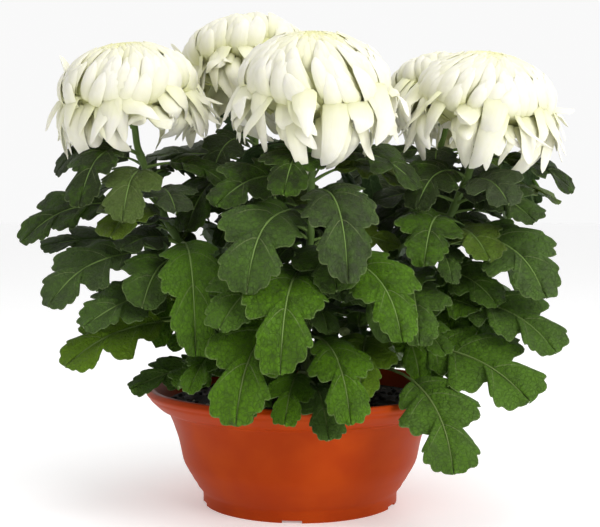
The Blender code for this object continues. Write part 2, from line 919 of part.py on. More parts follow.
def build_soil(parts, cutters):
    bottom = RECESS + FLOOR_THICKNESS + GAP
    side = [height for _, height in pot_inside()[1:-2]]
    profile = [(0.0, SOIL_TOP + SOIL_MOUND)]
    profile += [(pot_inner_radius(height) - 1.5 * GAP, height) for height in (SOIL_TOP, 0.0785)]
    profile += [(pot_inner_radius(height) - 1.5 * GAP, height) for height in reversed(side)]
    profile += [(pot_inner_radius(bottom) - 1.5 * GAP, bottom), (0.0, bottom)]
    soil = turned("soil", profile, POT_SIDES, parts)
    holes = new_collection("soil_cutters", cutters)
    radius = (STEM_BASE_RADIUS + GAP) / math.cos(math.pi / HOLE_SIDES)
    for shoot in SHOOTS:
        shape = bmesh.new()
        bmesh.ops.create_cone(
            shape,
            cap_ends=True,
            segments=HOLE_SIDES,
            radius1=radius,
            radius2=radius,
            depth=2.0 * HOLE_DEPTH,
            matrix=Matrix.Translation((*shoot.root, SOIL_TOP)),
        )
        object_from_bmesh(f"hole_cutter_{shoot.name}", shape, holes)
    cut(soil, holes)
    hide(holes)
    return soil


def build_leaf(leaf, template, name, collection):
    points = leaf_points(leaf, template)
    made = new_object(name, points, template[1], collection)
    thick = made.vertex_groups.new(name="thickness")
    thin = BLADE_THICKNESS / STALK_THICKNESS
    for index in range(len(points)):
        thick.add([index], 1.0 if index in template[2] else thin, "REPLACE")
    solid = made.modifiers.new("thickness", "SOLIDIFY")
    solid.thickness = STALK_THICKNESS
    solid.offset = 0.0
    solid.vertex_group = thick.name
    return applied(made)


def build_bud(bud, name, collection):
    root = stem_point(shoot_of(bud.shoot), bud.height)
    out = heading_vector(bud.heading)
    end = root + out * bud.reach + UP * bud.rise
    bend = root + out * (bud.reach * 0.8) + UP * (bud.rise * 0.35)
    route = [bezier((root, bend, end), step / 3.0) for step in range(4)]
    tube(name + "_stalk", route, (0.0014, 0.0012, 0.0011, 0.0011), 0, collection)
    shape = bmesh.new()
    stretch = Matrix.Diagonal((1.0, 1.0, 0.9, 1.0))
    place = Matrix.Translation(end + UP * (bud.radius * 0.7)) @ stretch
    bmesh.ops.create_uvsphere(shape, u_segments=7, v_segments=5, radius=bud.radius, matrix=place)
    object_from_bmesh(name, shape, collection)


def build_stem(shoot, leaves, template, parts):
    route = stem_route(shoot)
    radii = [stem_radius(index, len(route)) for index in range(len(route))]
    stem = tube(f"stem_{shoot.name}", route, radii, 1, parts)
    repeats = new_collection(f"repeats_{shoot.name}")
    cup = bmesh.new()
    turn = bloom_frame(shoot).to_4x4()
    middle = shoot.seat - shoot.axis * (RECEPTACLE_LENGTH / 2.0)
    bmesh.ops.create_cone(
        cup,
        cap_ends=True,
        segments=10,
        radius1=STEM_TOP_RADIUS,
        radius2=RECEPTACLE_RADIUS,
        depth=RECEPTACLE_LENGTH,
        matrix=Matrix.Translation(middle) @ turn,
    )
    object_from_bmesh("receptacle", cup, repeats)
    for index, leaf in enumerate(leaves):
        build_leaf(leaf, template, f"leaf_{index}", repeats)
    for index, bud in enumerate(BUDS):
        if bud.shoot == shoot.name:
            build_bud(bud, f"bud_{index}", repeats)
    return fused(stem, repeats)


def build_bloom(shoot, parts):
    shape = bmesh.new()
    bmesh.ops.create_uvsphere(shape, u_segments=10, v_segments=6, radius=CORE_SCALE)
    turn = bloom_frame(shoot)
    for vert in shape.verts:
        height = vert.co.z * (DOME_HEIGHT if vert.co.z > 0.0 else DOME_HEIGHT * 0.8)
        vert.co.z = max(height, CORE_BOTTOM)
        vert.co = shoot.centre + turn @ (vert.co * shoot.radius)
    bmesh.ops.dissolve_degenerate(shape, dist=0.00001, edges=shape.edges)
    core = object_from_bmesh(f"bloom_{shoot.name}", shape, parts)
    repeats = new_collection(f"petals_{shoot.name}")
    for index, petal in enumerate(petals_of(shoot)):
        made = new_object(f"petal_{index}", *petal_mesh(petal, shoot.radius), repeats)
        facing_out(made)
    return fused(core, repeats)


def main():
    for obj in list(bpy.data.objects):
        bpy.data.objects.remove(obj, do_unlink=True)
    parts = new_collection("pot_chrysanthemum")
    cutters = new_collection("cutters")
    clay = material("terracotta_plastic", (0.42, 0.075, 0.012), 0.38)
    earth = material("soil", (0.020, 0.013, 0.009), 0.95)
    green = material("leaf_green", (0.045, 0.115, 0.020), 0.50)
    cream = material("petal_white", (0.86, 0.87, 0.70), 0.55)
    dressed(build_pot(parts, cutters), clay, 35)
    dressed(build_soil(parts, cutters), earth)
    template = leaf_template()
    leaves = placed_leaves(template)
    for shoot in SHOOTS:
        dressed(build_stem(shoot, leaves[shoot.name], template, parts), green)
        dressed(build_bloom(shoot, parts), cream)


if __name__ == "__main__":
    main()
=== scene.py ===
"""Looks of a pot chrysanthemum: five leafy stems with white incurved blooms, in a terracotta-orange bowl.

Metres, +Z up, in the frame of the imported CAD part. Every piece replaces one CAD node and keeps its form:
the large leaves stand where the part's do, the petals lie on its domes, and smaller leaves fill in among
the large ones.
"""

import json
import logging
import math
from collections.abc import Iterator
from dataclasses import dataclass, field, replace
from enum import Enum
from random import Random

import bpy
import numpy as np
from bpy.types import Collection, Material, Node, NodeSocket, Object
from mathutils import Matrix, Vector, noise
from mathutils.bvhtree import BVHTree
from mathutils.geometry import delaunay_2d_cdt

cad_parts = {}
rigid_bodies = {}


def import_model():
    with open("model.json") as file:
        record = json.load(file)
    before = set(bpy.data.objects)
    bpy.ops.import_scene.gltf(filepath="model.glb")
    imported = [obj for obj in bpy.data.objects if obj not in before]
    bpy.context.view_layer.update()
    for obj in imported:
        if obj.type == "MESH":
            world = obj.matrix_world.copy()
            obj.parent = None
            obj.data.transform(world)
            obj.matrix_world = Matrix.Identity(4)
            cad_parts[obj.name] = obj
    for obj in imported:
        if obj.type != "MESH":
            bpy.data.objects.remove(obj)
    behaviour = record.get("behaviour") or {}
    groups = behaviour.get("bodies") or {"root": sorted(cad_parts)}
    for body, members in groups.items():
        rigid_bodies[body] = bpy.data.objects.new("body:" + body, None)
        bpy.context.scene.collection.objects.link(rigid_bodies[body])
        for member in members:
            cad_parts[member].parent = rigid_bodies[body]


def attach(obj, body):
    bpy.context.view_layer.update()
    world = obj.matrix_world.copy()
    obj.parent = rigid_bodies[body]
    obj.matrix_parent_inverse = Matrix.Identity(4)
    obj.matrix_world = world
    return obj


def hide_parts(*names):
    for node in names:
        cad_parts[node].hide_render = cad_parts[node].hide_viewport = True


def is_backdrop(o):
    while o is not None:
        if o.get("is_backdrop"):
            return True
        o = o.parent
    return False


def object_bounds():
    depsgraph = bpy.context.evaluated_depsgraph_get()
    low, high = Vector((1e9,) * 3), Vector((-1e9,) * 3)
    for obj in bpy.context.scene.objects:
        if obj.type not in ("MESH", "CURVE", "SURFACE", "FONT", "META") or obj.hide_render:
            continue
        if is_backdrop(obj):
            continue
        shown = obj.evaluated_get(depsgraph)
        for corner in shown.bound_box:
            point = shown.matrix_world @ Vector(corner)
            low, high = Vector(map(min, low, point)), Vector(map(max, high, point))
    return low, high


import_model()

CAD_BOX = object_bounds()
LOG = logging.getLogger("pot_chrysanthemum")
Array = np.ndarray
Value = NodeSocket | float | tuple

# The space that is left between two pieces, and a millimetre
GAP = 0.0003
MM = 0.001
UP = Vector((0.0, 0.0, 1.0))
# The way that a turned leaf's upper face looks
FRONT = Vector((0.0, -0.94, 0.34))
GOLDEN_ANGLE = math.pi * (3.0 - math.sqrt(5.0))


class Slot(Enum):
    """The record's material slots."""

    CLAY = "terracotta_plastic"
    SOIL = "soil"
    LEAF = "leaf_green"
    PETAL = "petal_white"


def unit(rows: Array) -> Array:
    """The rows as unit vectors."""
    return rows / np.maximum(np.linalg.norm(rows, axis=-1, keepdims=True), 1e-12)


def smooth_step(low: float, high: float, value: Array) -> Array:
    """A smooth rise from 0 at low to 1 at high."""
    share = np.clip((value - low) / (high - low), 0.0, 1.0)
    return share * share * (3.0 - 2.0 * share)


def smooth_through(at: Array, values: Array, wanted: Array) -> Array:
    """A smooth curve through known rows.

    Args:
        at: the rising places of the known rows.
        values: the known rows.
        wanted: the places to read the curve at.

    Returns:
        One row for each wanted place.
    """
    slopes = np.gradient(values, at, axis=0)
    low = np.clip(np.searchsorted(at, wanted, side="right") - 1, 0, len(at) - 2)
    gap = at[low + 1] - at[low]
    share = ((wanted - at[low]) / gap)[:, None]
    gap = gap[:, None]
    first = values[low] * (1.0 + 2.0 * share) * (1.0 - share) ** 2
    first += slopes[low] * gap * share * (1.0 - share) ** 2
    last = values[low + 1] * share**2 * (3.0 - 2.0 * share)
    return first + last + slopes[low + 1] * gap * share**2 * (share - 1.0)


def level_vector(angle: float) -> Vector:
    """The level unit vector at this angle from +X, in radians."""
    return Vector((math.cos(angle), math.sin(angle), 0.0))


def sideways(angle: float) -> Vector:
    """The level unit vector to the left of the one at this angle."""
    return Vector((-math.sin(angle), math.cos(angle), 0.0))


def heading_vector(degrees: float) -> Vector:
    """The level unit vector at this heading from +X, in degrees."""
    return level_vector(math.radians(degrees))


def box_of(points: list[Vector]) -> tuple[Vector, Vector]:
    """The lowest and the highest corner round the points."""
    low = Vector([min(p[i] for p in points) for i in range(3)])
    high = Vector([max(p[i] for p in points) for i in range(3)])
    return low, high


def ring_faces(rings: int, sides: int) -> list[tuple[int, ...]]:
    """The faces that join each ring of points to the next."""
    faces = []
    for ring in range(rings - 1):
        for side in range(sides):
            a = ring * sides + side
            b = ring * sides + (side + 1) % sides
            faces.append((a, b, b + sides, a + sides))
    return faces


def grown(rule: tuple[float, float, float], share: float) -> float:
    """What a start, a growth and its power give at this share of a spiral."""
    start, growth, power = rule
    return start + growth * share**power


def bezier(points: tuple, share: float) -> Vector:
    """The point at this share of a Bezier curve through its control points."""
    points = [Vector(point) for point in points]
    while len(points) > 1:
        points = [a.lerp(b, share) for a, b in zip(points, points[1:])]
    return points[0]


@dataclass(frozen=True)
class Shoot:
    """One stem and its bloom: its root in the soil, and the bloom's middle, lean and radius.

    Each stray is a petal that stands away: its heading in degrees, and its tip's reach and height
    in parts of the radius.
    """

    name: str
    root: tuple
    bloom: tuple
    lean: tuple
    radius: float
    seed: int
    strays: tuple

    @property
    def axis(self) -> Vector:
        """The bloom's axis, out of its top."""
        return Vector(self.lean).normalized()

    @property
    def centre(self) -> Vector:
        """The middle of the bloom's ball."""
        return Vector(self.bloom)

    @property
    def is_back(self) -> bool:
        """Whether the shoot stands behind the others."""
        return self.name.startswith("back")


@dataclass(frozen=True)
class Leaf:
    """One stalked leaf: where it leaves its stem, its heading, its reach, tip height and width."""

    shoot: str
    height: float
    heading: float
    reach: float
    tip: float
    width: float
    arch: float = 0.020
    roll: float = 0.0
    stalk: float = 0.30
    turn: float = 0.0


@dataclass(frozen=True)
class LeafKind:
    """A kind of added leaf: between what reaches it is drawn, and how far below the bloom it stays."""

    reach: tuple
    below_bloom: float


MEDIUM_LEAF = LeafKind((0.070, 0.108), 0.030)
SMALL_LEAF = LeafKind((0.044, 0.080), 0.050)


@dataclass(frozen=True)
class Bud:
    """One closed flower bud on a side stalk."""

    shoot: str
    height: float
    heading: float
    reach: float
    rise: float
    radius: float


# Name, root, bloom's middle, lean, radius, seed and strays
SHOOTS = (
    Shoot(
        "left", (-0.032, -0.014), (-0.140, -0.030, 0.345), (-0.10, -0.22, 1.0), 0.058, 11,
        ((190, 1.22, -0.46), (160, 1.02, 0.52)),
    ),
    Shoot(
        "front", (0.004, -0.036), (0.011, -0.082, 0.345), (0.02, -0.30, 1.0), 0.060, 23,
        ((186, 1.18, -0.52), (340, 1.16, -0.70)),
    ),
    Shoot(
        "right", (0.036, -0.012), (0.150, -0.036, 0.337), (0.12, -0.20, 1.0), 0.058, 37,
        ((2, 1.27, -0.02), (200, 1.20, -0.85)),
    ),
    Shoot(
        "back_left", (-0.016, 0.030), (-0.047, 0.058, 0.380), (-0.10, 0.16, 1.0), 0.058, 41,
        ((186, 1.14, 0.30),),
    ),
    Shoot(
        "back_right", (0.026, 0.030), (0.137, 0.092, 0.350), (0.14, 0.22, 1.0), 0.057, 59,
        ((70, 1.16, -0.40),),
    ),
)
# Shoot, height, heading, reach, rise and radius
BUDS = (
    Bud("front", 0.205, 200, 0.052, 0.036, 0.0058),
    Bud("front", 0.222, 215, 0.034, 0.036, 0.0044),
    Bud("back_left", 0.190, 250, 0.040, 0.030, 0.0042),
    Bud("left", 0.160, 285, 0.030, 0.026, 0.0046),
    Bud("right", 0.120, 255, 0.048, 0.026, 0.0042),
)
# Leaves that face the front: height, heading, reach, tip height, width (mm and degrees), stalk share
SEEN_LEAVES = {
    "left": (
        (290, 192, 96, 287, 40, 0.26), (272, 265, 92, 236, 44, 0.26), (246, 193, 114, 218, 44, 0.36),
        (206, 216, 125, 170, 50, 0.40), (200, 178, 128, 214, 30, 0.55), (172, 225, 130, 156, 48, 0.42),
        (150, 212, 144, 124, 50, 0.42), (216, 281, 114, 136, 50, 0.28), (132, 256, 134, 112, 26, 0.42),
        (106, 216, 118, 92, 36, 0.45), (100, 258, 142, 88, 44, 0.48),
    ),
    "front": (
        (284, 254, 78, 256, 44, 0.28), (266, 217, 90, 248, 46, 0.30), (242, 245, 110, 185, 60, 0.26),
        (258, 284, 104, 193, 54, 0.24), (204, 303, 122, 150, 50, 0.32), (156, 248, 136, 92, 58, 0.30),
        (186, 232, 130, 162, 54, 0.34), (196, 261, 132, 130, 56, 0.26), (142, 283, 136, 94, 42, 0.34),
        (112, 262, 114, 90, 32, 0.44), (104, 285, 124, 80, 38, 0.46),
    ),
    "right": (
        (138, 263, 116, 108, 48, 0.36), (250, 310, 84, 236, 44, 0.30), (236, 253, 94, 203, 50, 0.28),
        (220, 312, 112, 178, 60, 0.30), (210, 276, 92, 190, 26, 0.36), (272, 230, 72, 246, 42, 0.28),
        (170, 324, 144, 136, 52, 0.42), (132, 317, 160, 102, 66, 0.40), (116, 297, 146, 52, 58, 0.52),
        (182, 270, 118, 146, 48, 0.30), (152, 292, 112, 137, 28, 0.50), (102, 318, 132, 78, 30, 0.55),
        (158, 335, 100, 145, 38, 0.44),
    ),
}
# Leaves that face the back: their shoot, and then the same columns
BACK_LEAVES = (
    ("back_left", 158, 98, 132, 126, 60, 0.26),
    ("back_right", 176, 84, 126, 138, 58, 0.26),
    ("back_left", 112, 128, 118, 92, 54, 0.34),
    ("back_right", 110, 62, 126, 90, 56, 0.34),
    ("back_left", 226, 118, 106, 196, 54, 0.26),
)


@dataclass(frozen=True)
class BowlProfile:
    """The bowl's section, shared by the bowl, the soil and the leaves' clearance."""

    height: float = 0.098
    rim_radius: float = 0.1305
    foot_radius: float = 0.0822
    foot_height: float = 0.0110
    foot_width: float = 0.0037
    recess: float = 0.003
    floor: float = 0.0025
    wall: float = 0.0026
    shoulder_radius: float = 0.0988
    shoulder_height: float = 0.0347

    def outside(self) -> list[tuple[float, float]]:
        """The outer profile from the lip down to the foot: radius and height."""
        lip = self.rim_radius
        return [
            (lip - 0.0020, self.height),
            (lip, self.height - 0.0040),
            (lip - 0.0040, self.height - 0.0095),
            (lip - 0.0120, self.height - 0.0170),
            (lip - 0.0190, self.height - 0.0200),
            (lip - 0.0230, self.height - 0.0295),
            (self.shoulder_radius + 0.0040, self.shoulder_height + 0.0200),
            (self.shoulder_radius, self.shoulder_height),
            (self.foot_radius + 0.0020, self.foot_height),
            (self.foot_radius, self.foot_height - 0.0020),
            (self.foot_radius, 0.0),
        ]

    def inside(self) -> list[tuple[float, float]]:
        """The inner profile from the floor up to the lip."""
        return [
            (self.foot_radius - self.wall, self.recess + self.floor),
            (self.foot_radius - self.wall + 0.0015, self.foot_height + 0.0020),
            (self.shoulder_radius - self.wall, self.shoulder_height + 0.0010),
            (self.rim_radius - 0.0190 - self.wall, self.height - 0.0190),
            (self.rim_radius - 0.0070, self.height - 0.0005),
        ]

    def inner_radius(self, height: float) -> float:
        """The inside's radius at this height."""
        profile = self.inside()
        for (r0, z0), (r1, z1) in zip(profile, profile[1:]):
            if z1 >= height:
                return r0 + (r1 - r0) * (height - z0) / (z1 - z0)
        return profile[-1][0]


BOWL = BowlProfile()


@dataclass(frozen=True)
class StemLine:
    """A stem's middle line: straight up out of its hole, then leaning out to the bloom."""

    shoot: Shoot
    soil_top: float = 0.085
    soil_mound: float = 0.003
    hole_depth: float = 0.040
    base_radius: float = 0.0038
    top_radius: float = 0.0027
    core_bottom: float = -0.36
    steps: int = 11

    @property
    def seat(self) -> Vector:
        """The middle of the bloom's underside."""
        return self.shoot.centre + self.shoot.axis * (self.core_bottom * self.shoot.radius - GAP)

    @property
    def top(self) -> float:
        """The height of the line's end."""
        return self.route()[-1].z

    def route(self) -> list[Vector]:
        """The points of the line, from the bottom of the hole to the bloom."""
        foot = Vector((*self.shoot.root, self.soil_top - self.hole_depth + GAP))
        ground = Vector((*self.shoot.root, self.soil_top + self.soil_mound + 0.002))
        top = self.seat - self.shoot.axis * GAP
        out = Vector((top.x - ground.x, top.y - ground.y, 0.0))
        handles = (ground, ground + UP * 0.06 + out * 0.12, top - self.shoot.axis * 0.10, top)
        return [foot] + [bezier(handles, step / self.steps) for step in range(self.steps + 1)]

    def radii(self) -> list[float]:
        """The stem's radius at each point of the line."""
        last = self.steps + 1
        return [
            self.base_radius + (self.top_radius - self.base_radius) * index / last
            for index in range(last + 1)
        ]

    def point(self, height: float) -> Vector:
        """The point of the line at this height above the table."""
        route = self.route()
        for low, high in zip(route, route[1:]):
            if high.z >= height:
                return low.lerp(high, (height - low.z) / (high.z - low.z))
        return route[-1]


STEM_LINES = {shoot.name: StemLine(shoot) for shoot in SHOOTS}


@dataclass(frozen=True)
class Petal:
    """A petal of the solid part: middle line, half-widths, sideways direction and backs."""

    line: tuple
    half_widths: tuple
    across: Vector
    backs: tuple


@dataclass(frozen=True)
class PetalRule:
    """Where a bloom's petals lie, in parts of the bloom's radius, and their widths beside one another."""

    dome_height: float = 0.66
    underside: float = 0.8
    stations: tuple = ((-0.25, 0.76), (0.30, 0.95), (0.75, 1.0), (1.0, 0.975))

    def dome_point(self, polar: float, azimuth: float, scale: float) -> Vector:
        """A point on the bloom's flattened ball."""
        height = self.dome_height if polar < math.pi / 2 else self.dome_height * self.underside
        return Vector(
            (
                math.sin(polar) * math.cos(azimuth) * scale,
                math.sin(polar) * math.sin(azimuth) * scale,
                math.cos(polar) * height * scale,
            )
        )

    def dome_back(self, point: Vector) -> Vector:
        """The ball's outward direction at a point."""
        return Vector((point.x, point.y, point.z / self.dome_height**2)).normalized()

    def ball(self, index: int, count: int, draw: Random) -> Petal:
        """An incurved petal of the solid part's bloom.

        Args:
            index: its place in the spiral.
            count: how many the spiral has.
            draw: the bloom's own random numbers.

        Returns:
            The petal.
        """
        share = (index + 0.5) / count
        polar = math.radians(14.0 + 114.0 * share**0.60)
        azimuth = index * GOLDEN_ANGLE + draw.uniform(-0.08, 0.08)
        span = math.radians(24.0 + 36.0 * share)
        swirl = draw.uniform(-0.12, 0.12)
        lift = draw.uniform(-0.012, 0.02)
        line = []
        backs = []
        for along, scale in self.stations:
            angle = max(polar - span * along, math.radians(3.0))
            point = self.dome_point(angle, azimuth + swirl * along, scale + lift)
            line.append(point)
            backs.append(self.dome_back(point))
        size = 0.55 + 0.45 * share
        return Petal(tuple(line), (size * 0.8, size, size * 0.72), sideways(azimuth), tuple(backs))

    def skirt(self, index: int, draw: Random) -> Petal:
        """A lower petal of the solid part's bloom: out from under the ball, then hanging."""
        inner_row = index % 3 == 2
        azimuth = index * GOLDEN_ANGLE + draw.uniform(-0.10, 0.10)
        drop = draw.uniform(0.50, 0.95)
        swing = draw.uniform(-0.10, 0.34) - (0.24 if inner_row else 0.0)
        reach = 0.86 if inner_row else 0.98
        stations = (
            (0.60, -0.16),
            (reach - 0.04, -0.08),
            (reach + 0.08, -0.14 - 0.45 * drop),
            (reach + 0.06 + swing, -0.18 - drop),
        )
        turn = draw.uniform(-0.14, 0.14)
        line = []
        backs = []
        for step, (radius, height) in enumerate(stations):
            angle = azimuth + turn * step / 3.0
            out = level_vector(angle)
            line.append(out * radius + UP * height)
            backs.append((out + UP * (1.2 - 0.4 * step)).normalized())
        return Petal(tuple(line), (0.8, 1.0, 0.75), sideways(azimuth), tuple(backs))

    def stray(self, heading: float, reach: float, height: float) -> Petal:
        """A petal that stands away from the ball, to the given tip."""
        out = heading_vector(heading)
        stations = ((0.60, -0.12), (0.93, -0.04), (reach * 0.93, height * 0.5 - 0.02), (reach, height))
        side = 1.0 if height > 0.0 else -1.0
        line = []
        backs = []
        for step, (radius, level) in enumerate(stations):
            before = stations[max(step - 1, 0)]
            after = stations[min(step + 1, len(stations) - 1)]
            line.append(out * radius + UP * level)
            back = out * (after[1] - before[1]) - UP * (after[0] - before[0])
            backs.append((back * side).normalized())
        across = sideways(math.radians(heading))
        return Petal(tuple(line), (0.75, 0.95, 0.62), across, tuple(backs))


PETAL_RULE = PetalRule()


@dataclass(frozen=True)
class BloomPlan:
    """The petals of the solid part's bloom, which the leaves keep clear of."""

    shoot: Shoot
    ball_petals: int = 24
    skirt_petals: int = 14
    ball_width: float = 0.0112
    skirt_width: float = 0.0086
    petal_rise: float = 0.075
    plane_margin: float = 0.006

    def frame(self) -> Matrix:
        """The turn from +Z to the bloom's axis."""
        return UP.rotation_difference(self.shoot.axis).to_matrix()

    def nearer_another(self, point: Vector) -> bool:
        """Whether a point lies past the middle plane towards another bloom."""
        own = (point - self.shoot.centre).length - self.shoot.radius
        for other in SHOOTS:
            if other is self.shoot:
                continue
            if (point - other.centre).length - other.radius < own + self.plane_margin:
                return True
        return False

    def placed_line(self, line: tuple) -> tuple:
        """The line in the object's frame, drawn in until it is clear of the other blooms."""
        turn = self.frame()
        tuck = 1.0
        while True:
            points = []
            for station, point in enumerate(line):
                keep = 1.0 if station < 2 else tuck
                flat = Vector((point.x * keep, point.y * keep, point.z))
                points.append(self.shoot.centre + turn @ (flat * self.shoot.radius))
            if tuck < 0.7 or not any(self.nearer_another(point) for point in points):
                return tuple(points)
            tuck -= 0.06

    def placed(self, petal: Petal, half_width: float) -> Petal:
        """The petal in the object's frame, at its size."""
        turn = self.frame()
        widths = tuple(width * half_width for width in petal.half_widths)
        backs = tuple(turn @ back for back in petal.backs)
        return Petal(self.placed_line(petal.line), widths, turn @ petal.across, backs)

    def petals(self) -> list[Petal]:
        """Every petal of the solid part's bloom."""
        draw = Random(self.shoot.seed)
        petals = []
        for index in range(self.ball_petals):
            petal = PETAL_RULE.ball(index, self.ball_petals, draw)
            petals.append(self.placed(petal, self.ball_width))
        for index in range(self.skirt_petals):
            petals.append(self.placed(PETAL_RULE.skirt(index, draw), self.skirt_width))
        for stray in self.shoot.strays:
            petals.append(self.placed(PETAL_RULE.stray(*stray), self.skirt_width))
        return petals

    def petal_mesh(self, petal: Petal, spare: float) -> tuple[list, list]:
        """Points and faces of one boat-shaped petal.

        Args:
            petal: the petal.
            spare: how much wider each side is made.

        Returns:
            The points and the faces.
        """
        points = []
        rise = self.petal_rise * self.shoot.radius
        for middle, half_width, back in zip(petal.line, petal.half_widths, petal.backs):
            edge = middle - back * rise
            side = petal.across * (half_width + spare)
            points += [edge + side, edge - side, middle]
        tip = len(points)
        points.append(petal.line[-1])
        faces = [(0, 2, 1)]
        for a, b in ((0, 1), (1, 2), (2, 0)):
            for low in range(0, tip - 3, 3):
                faces += [(low + a, low + b, low + 3 + b), (low + a, low + 3 + b, low + 3 + a)]
            faces.append((tip - 3 + a, tip - 3 + b, tip))
        return points, faces


def tube_shell(
    route: Array, radii: Array, sides: int, ridge: float = 0.0
) -> tuple[Array, list]:
    """A tapering tube with closed ends.

    Args:
        route: its middle line, one point a row.
        radii: its radius at each point.
        sides: how many sides it has.
        ridge: how far its ridges stand up, in parts of the radius.

    Returns:
        The points and the faces.
    """
    tangents = unit(np.gradient(route, axis=0))
    turns = [UP.rotation_difference(Vector(tangent)).to_matrix() for tangent in tangents]
    angles = math.tau * np.arange(sides) / sides
    spokes = np.stack([np.cos(angles), np.sin(angles), np.zeros(sides)], axis=1)
    spokes *= (1.0 + ridge * np.where(np.arange(sides) % 2, 1.0, -1.0))[:, None]
    rings = []
    for middle, radius, turn in zip(route, radii, turns):
        rings.append(middle + radius * (spokes @ np.array(turn).T))
    faces = ring_faces(len(route), sides)
    faces.append(tuple(reversed(range(sides))))
    faces.append(tuple(range((len(route) - 1) * sides, len(route) * sides)))
    return np.concatenate(rings), faces


@dataclass
class Obstacle:
    """Something that a leaf keeps clear of: its tree, its box and the shoot that it grows on."""

    tree: BVHTree
    low: Vector
    high: Vector
    shoot: str

    @classmethod
    def of(cls, points: list, faces: list, shoot: str) -> "Obstacle":
        """An obstacle from points and faces."""
        return cls(BVHTree.FromPolygons(points, faces), *box_of(points), shoot)

    @classmethod
    def tube(cls, route: list[Vector], radii: list[float], shoot: str) -> "Obstacle":
        """An obstacle round a route, open at its ends."""
        points, faces = tube_shell(np.array(route), np.array(radii), 6)
        return cls.of([Vector(point) for point in points], faces[:-2], shoot)


@dataclass(frozen=True)
class LeafForm:
    """How a leaf of any size bends from its stem to its tip, and how its blade folds."""

    stalk_share: float = 0.24
    stalk_half_width: float = 0.0015
    fold: float = 0.20
    droop: float = 0.16
    wave: float = 0.05
    waves: float = 9.0
    bend_ahead: tuple = (0.50, 0.42)
    full_fall: float = 0.060

    def route(self, leaf: Leaf) -> tuple[Vector, Vector, Vector]:
        """The three control points of the midrib, from the stem's middle to the tip."""
        root = STEM_LINES[leaf.shoot].point(leaf.height)
        out = heading_vector(leaf.heading)
        tip = root + out * leaf.reach
        tip.z = leaf.tip
        fall = max(root.z - tip.z, 0.0)
        ahead = self.bend_ahead[0] + self.bend_ahead[1] * min(fall / self.full_fall, 1.0)
        bend = root + out * (leaf.reach * ahead)
        bend.z = max(root.z, tip.z) + leaf.arch
        return root, bend, tip

    def midrib(self, leaf: Leaf, route: tuple, share: Array, hold: Array | float = 1.0) -> tuple:
        """The midrib's places and directions.

        Args:
            leaf: the leaf.
            route: its control points.
            share: places on the whole leaf, 0 at the stem's middle to 1 at the tip.
            hold: how much of its turn and roll the leaf has there.

        Returns:
            The middles, the sideways directions and the upward ones, a row for each place.
        """
        root, bend, tip = (np.array(point) for point in route)
        share = share[:, None]
        middle = root * (1.0 - share) ** 2 + bend * 2.0 * share * (1.0 - share) + tip * share**2
        forward = unit((bend - root) * (1.0 - share) + (tip - bend) * share)
        level = np.array(heading_vector(leaf.heading).cross(UP))
        normal = np.cross(level, forward)
        front = np.array(FRONT) - forward * (forward @ np.array(FRONT))[:, None]
        sine = np.sum(np.cross(normal, front) * forward, axis=1)
        twist = np.arctan2(sine, np.sum(normal * front, axis=1)) * leaf.turn
        twist = ((twist + math.radians(leaf.roll)) * hold)[:, None]
        across = level * np.cos(twist) + np.cross(forward, level) * np.sin(twist)
        return middle, across, np.cross(across, forward)

    def blade_frame(self, leaf: Leaf, route: tuple, along: Array) -> tuple:
        """The same for places on the blade alone, 0 to 1."""
        return self.midrib(leaf, route, leaf.stalk + along * (1.0 - leaf.stalk))

    def plain(self, leaf: Leaf, side: Array, along: Array) -> Array:
        """Points of the whole leaf as the solid part has it: side -1 to 1, along 0 to 1 from the stem."""
        on_stalk = along <= self.stalk_share + 1e-6
        on_blade = np.maximum(along - self.stalk_share, 0.0) / (1.0 - self.stalk_share)
        half = leaf.width / 2.0
        share = np.where(
            on_stalk, along * leaf.stalk / self.stalk_share, leaf.stalk + on_blade * (1.0 - leaf.stalk)
        )
        offset = np.where(on_stalk, np.copysign(self.stalk_half_width, side), side * half)
        hold = np.minimum(share / leaf.stalk, 1.0)
        middle, across, normal = self.midrib(leaf, self.route(leaf), share, hold)
        wave = self.wave * np.sin(self.waves * on_blade + leaf.heading) * np.sign(side)
        rise = self.fold * np.abs(offset) + (wave - self.droop) * side**2 * half
        return middle + across * offset[:, None] + normal * rise[:, None]

    def bent(
        self, leaf: Leaf, route: tuple, side: Array, along: Array, lift: Array
    ) -> Array:
        """Points of the curved blade, in the shape of the arrays given.

        Args:
            leaf: the leaf.
            route: its control points.
            side: -1 to 1 across the widest part.
            along: 0 to 1 on the blade.
            lift: how far each point stands above the plain blade, in metres.

        Returns:
            The points.
        """
        shape = side.shape
        middle, across, normal = self.blade_frame(leaf, route, along.ravel())
        flat = side.ravel()
        half = leaf.width / 2.0
        wave = self.wave * np.sin(self.waves * along.ravel() + leaf.heading) * np.sign(flat) * flat**2
        rise = self.fold * np.abs(flat) * half - self.droop * flat**2 * half + wave * half + lift.ravel()
        points = middle + across * (flat * half)[:, None] + normal * rise[:, None]
        return points.reshape(*shape, 3)


LEAF_FORM = LeafForm()


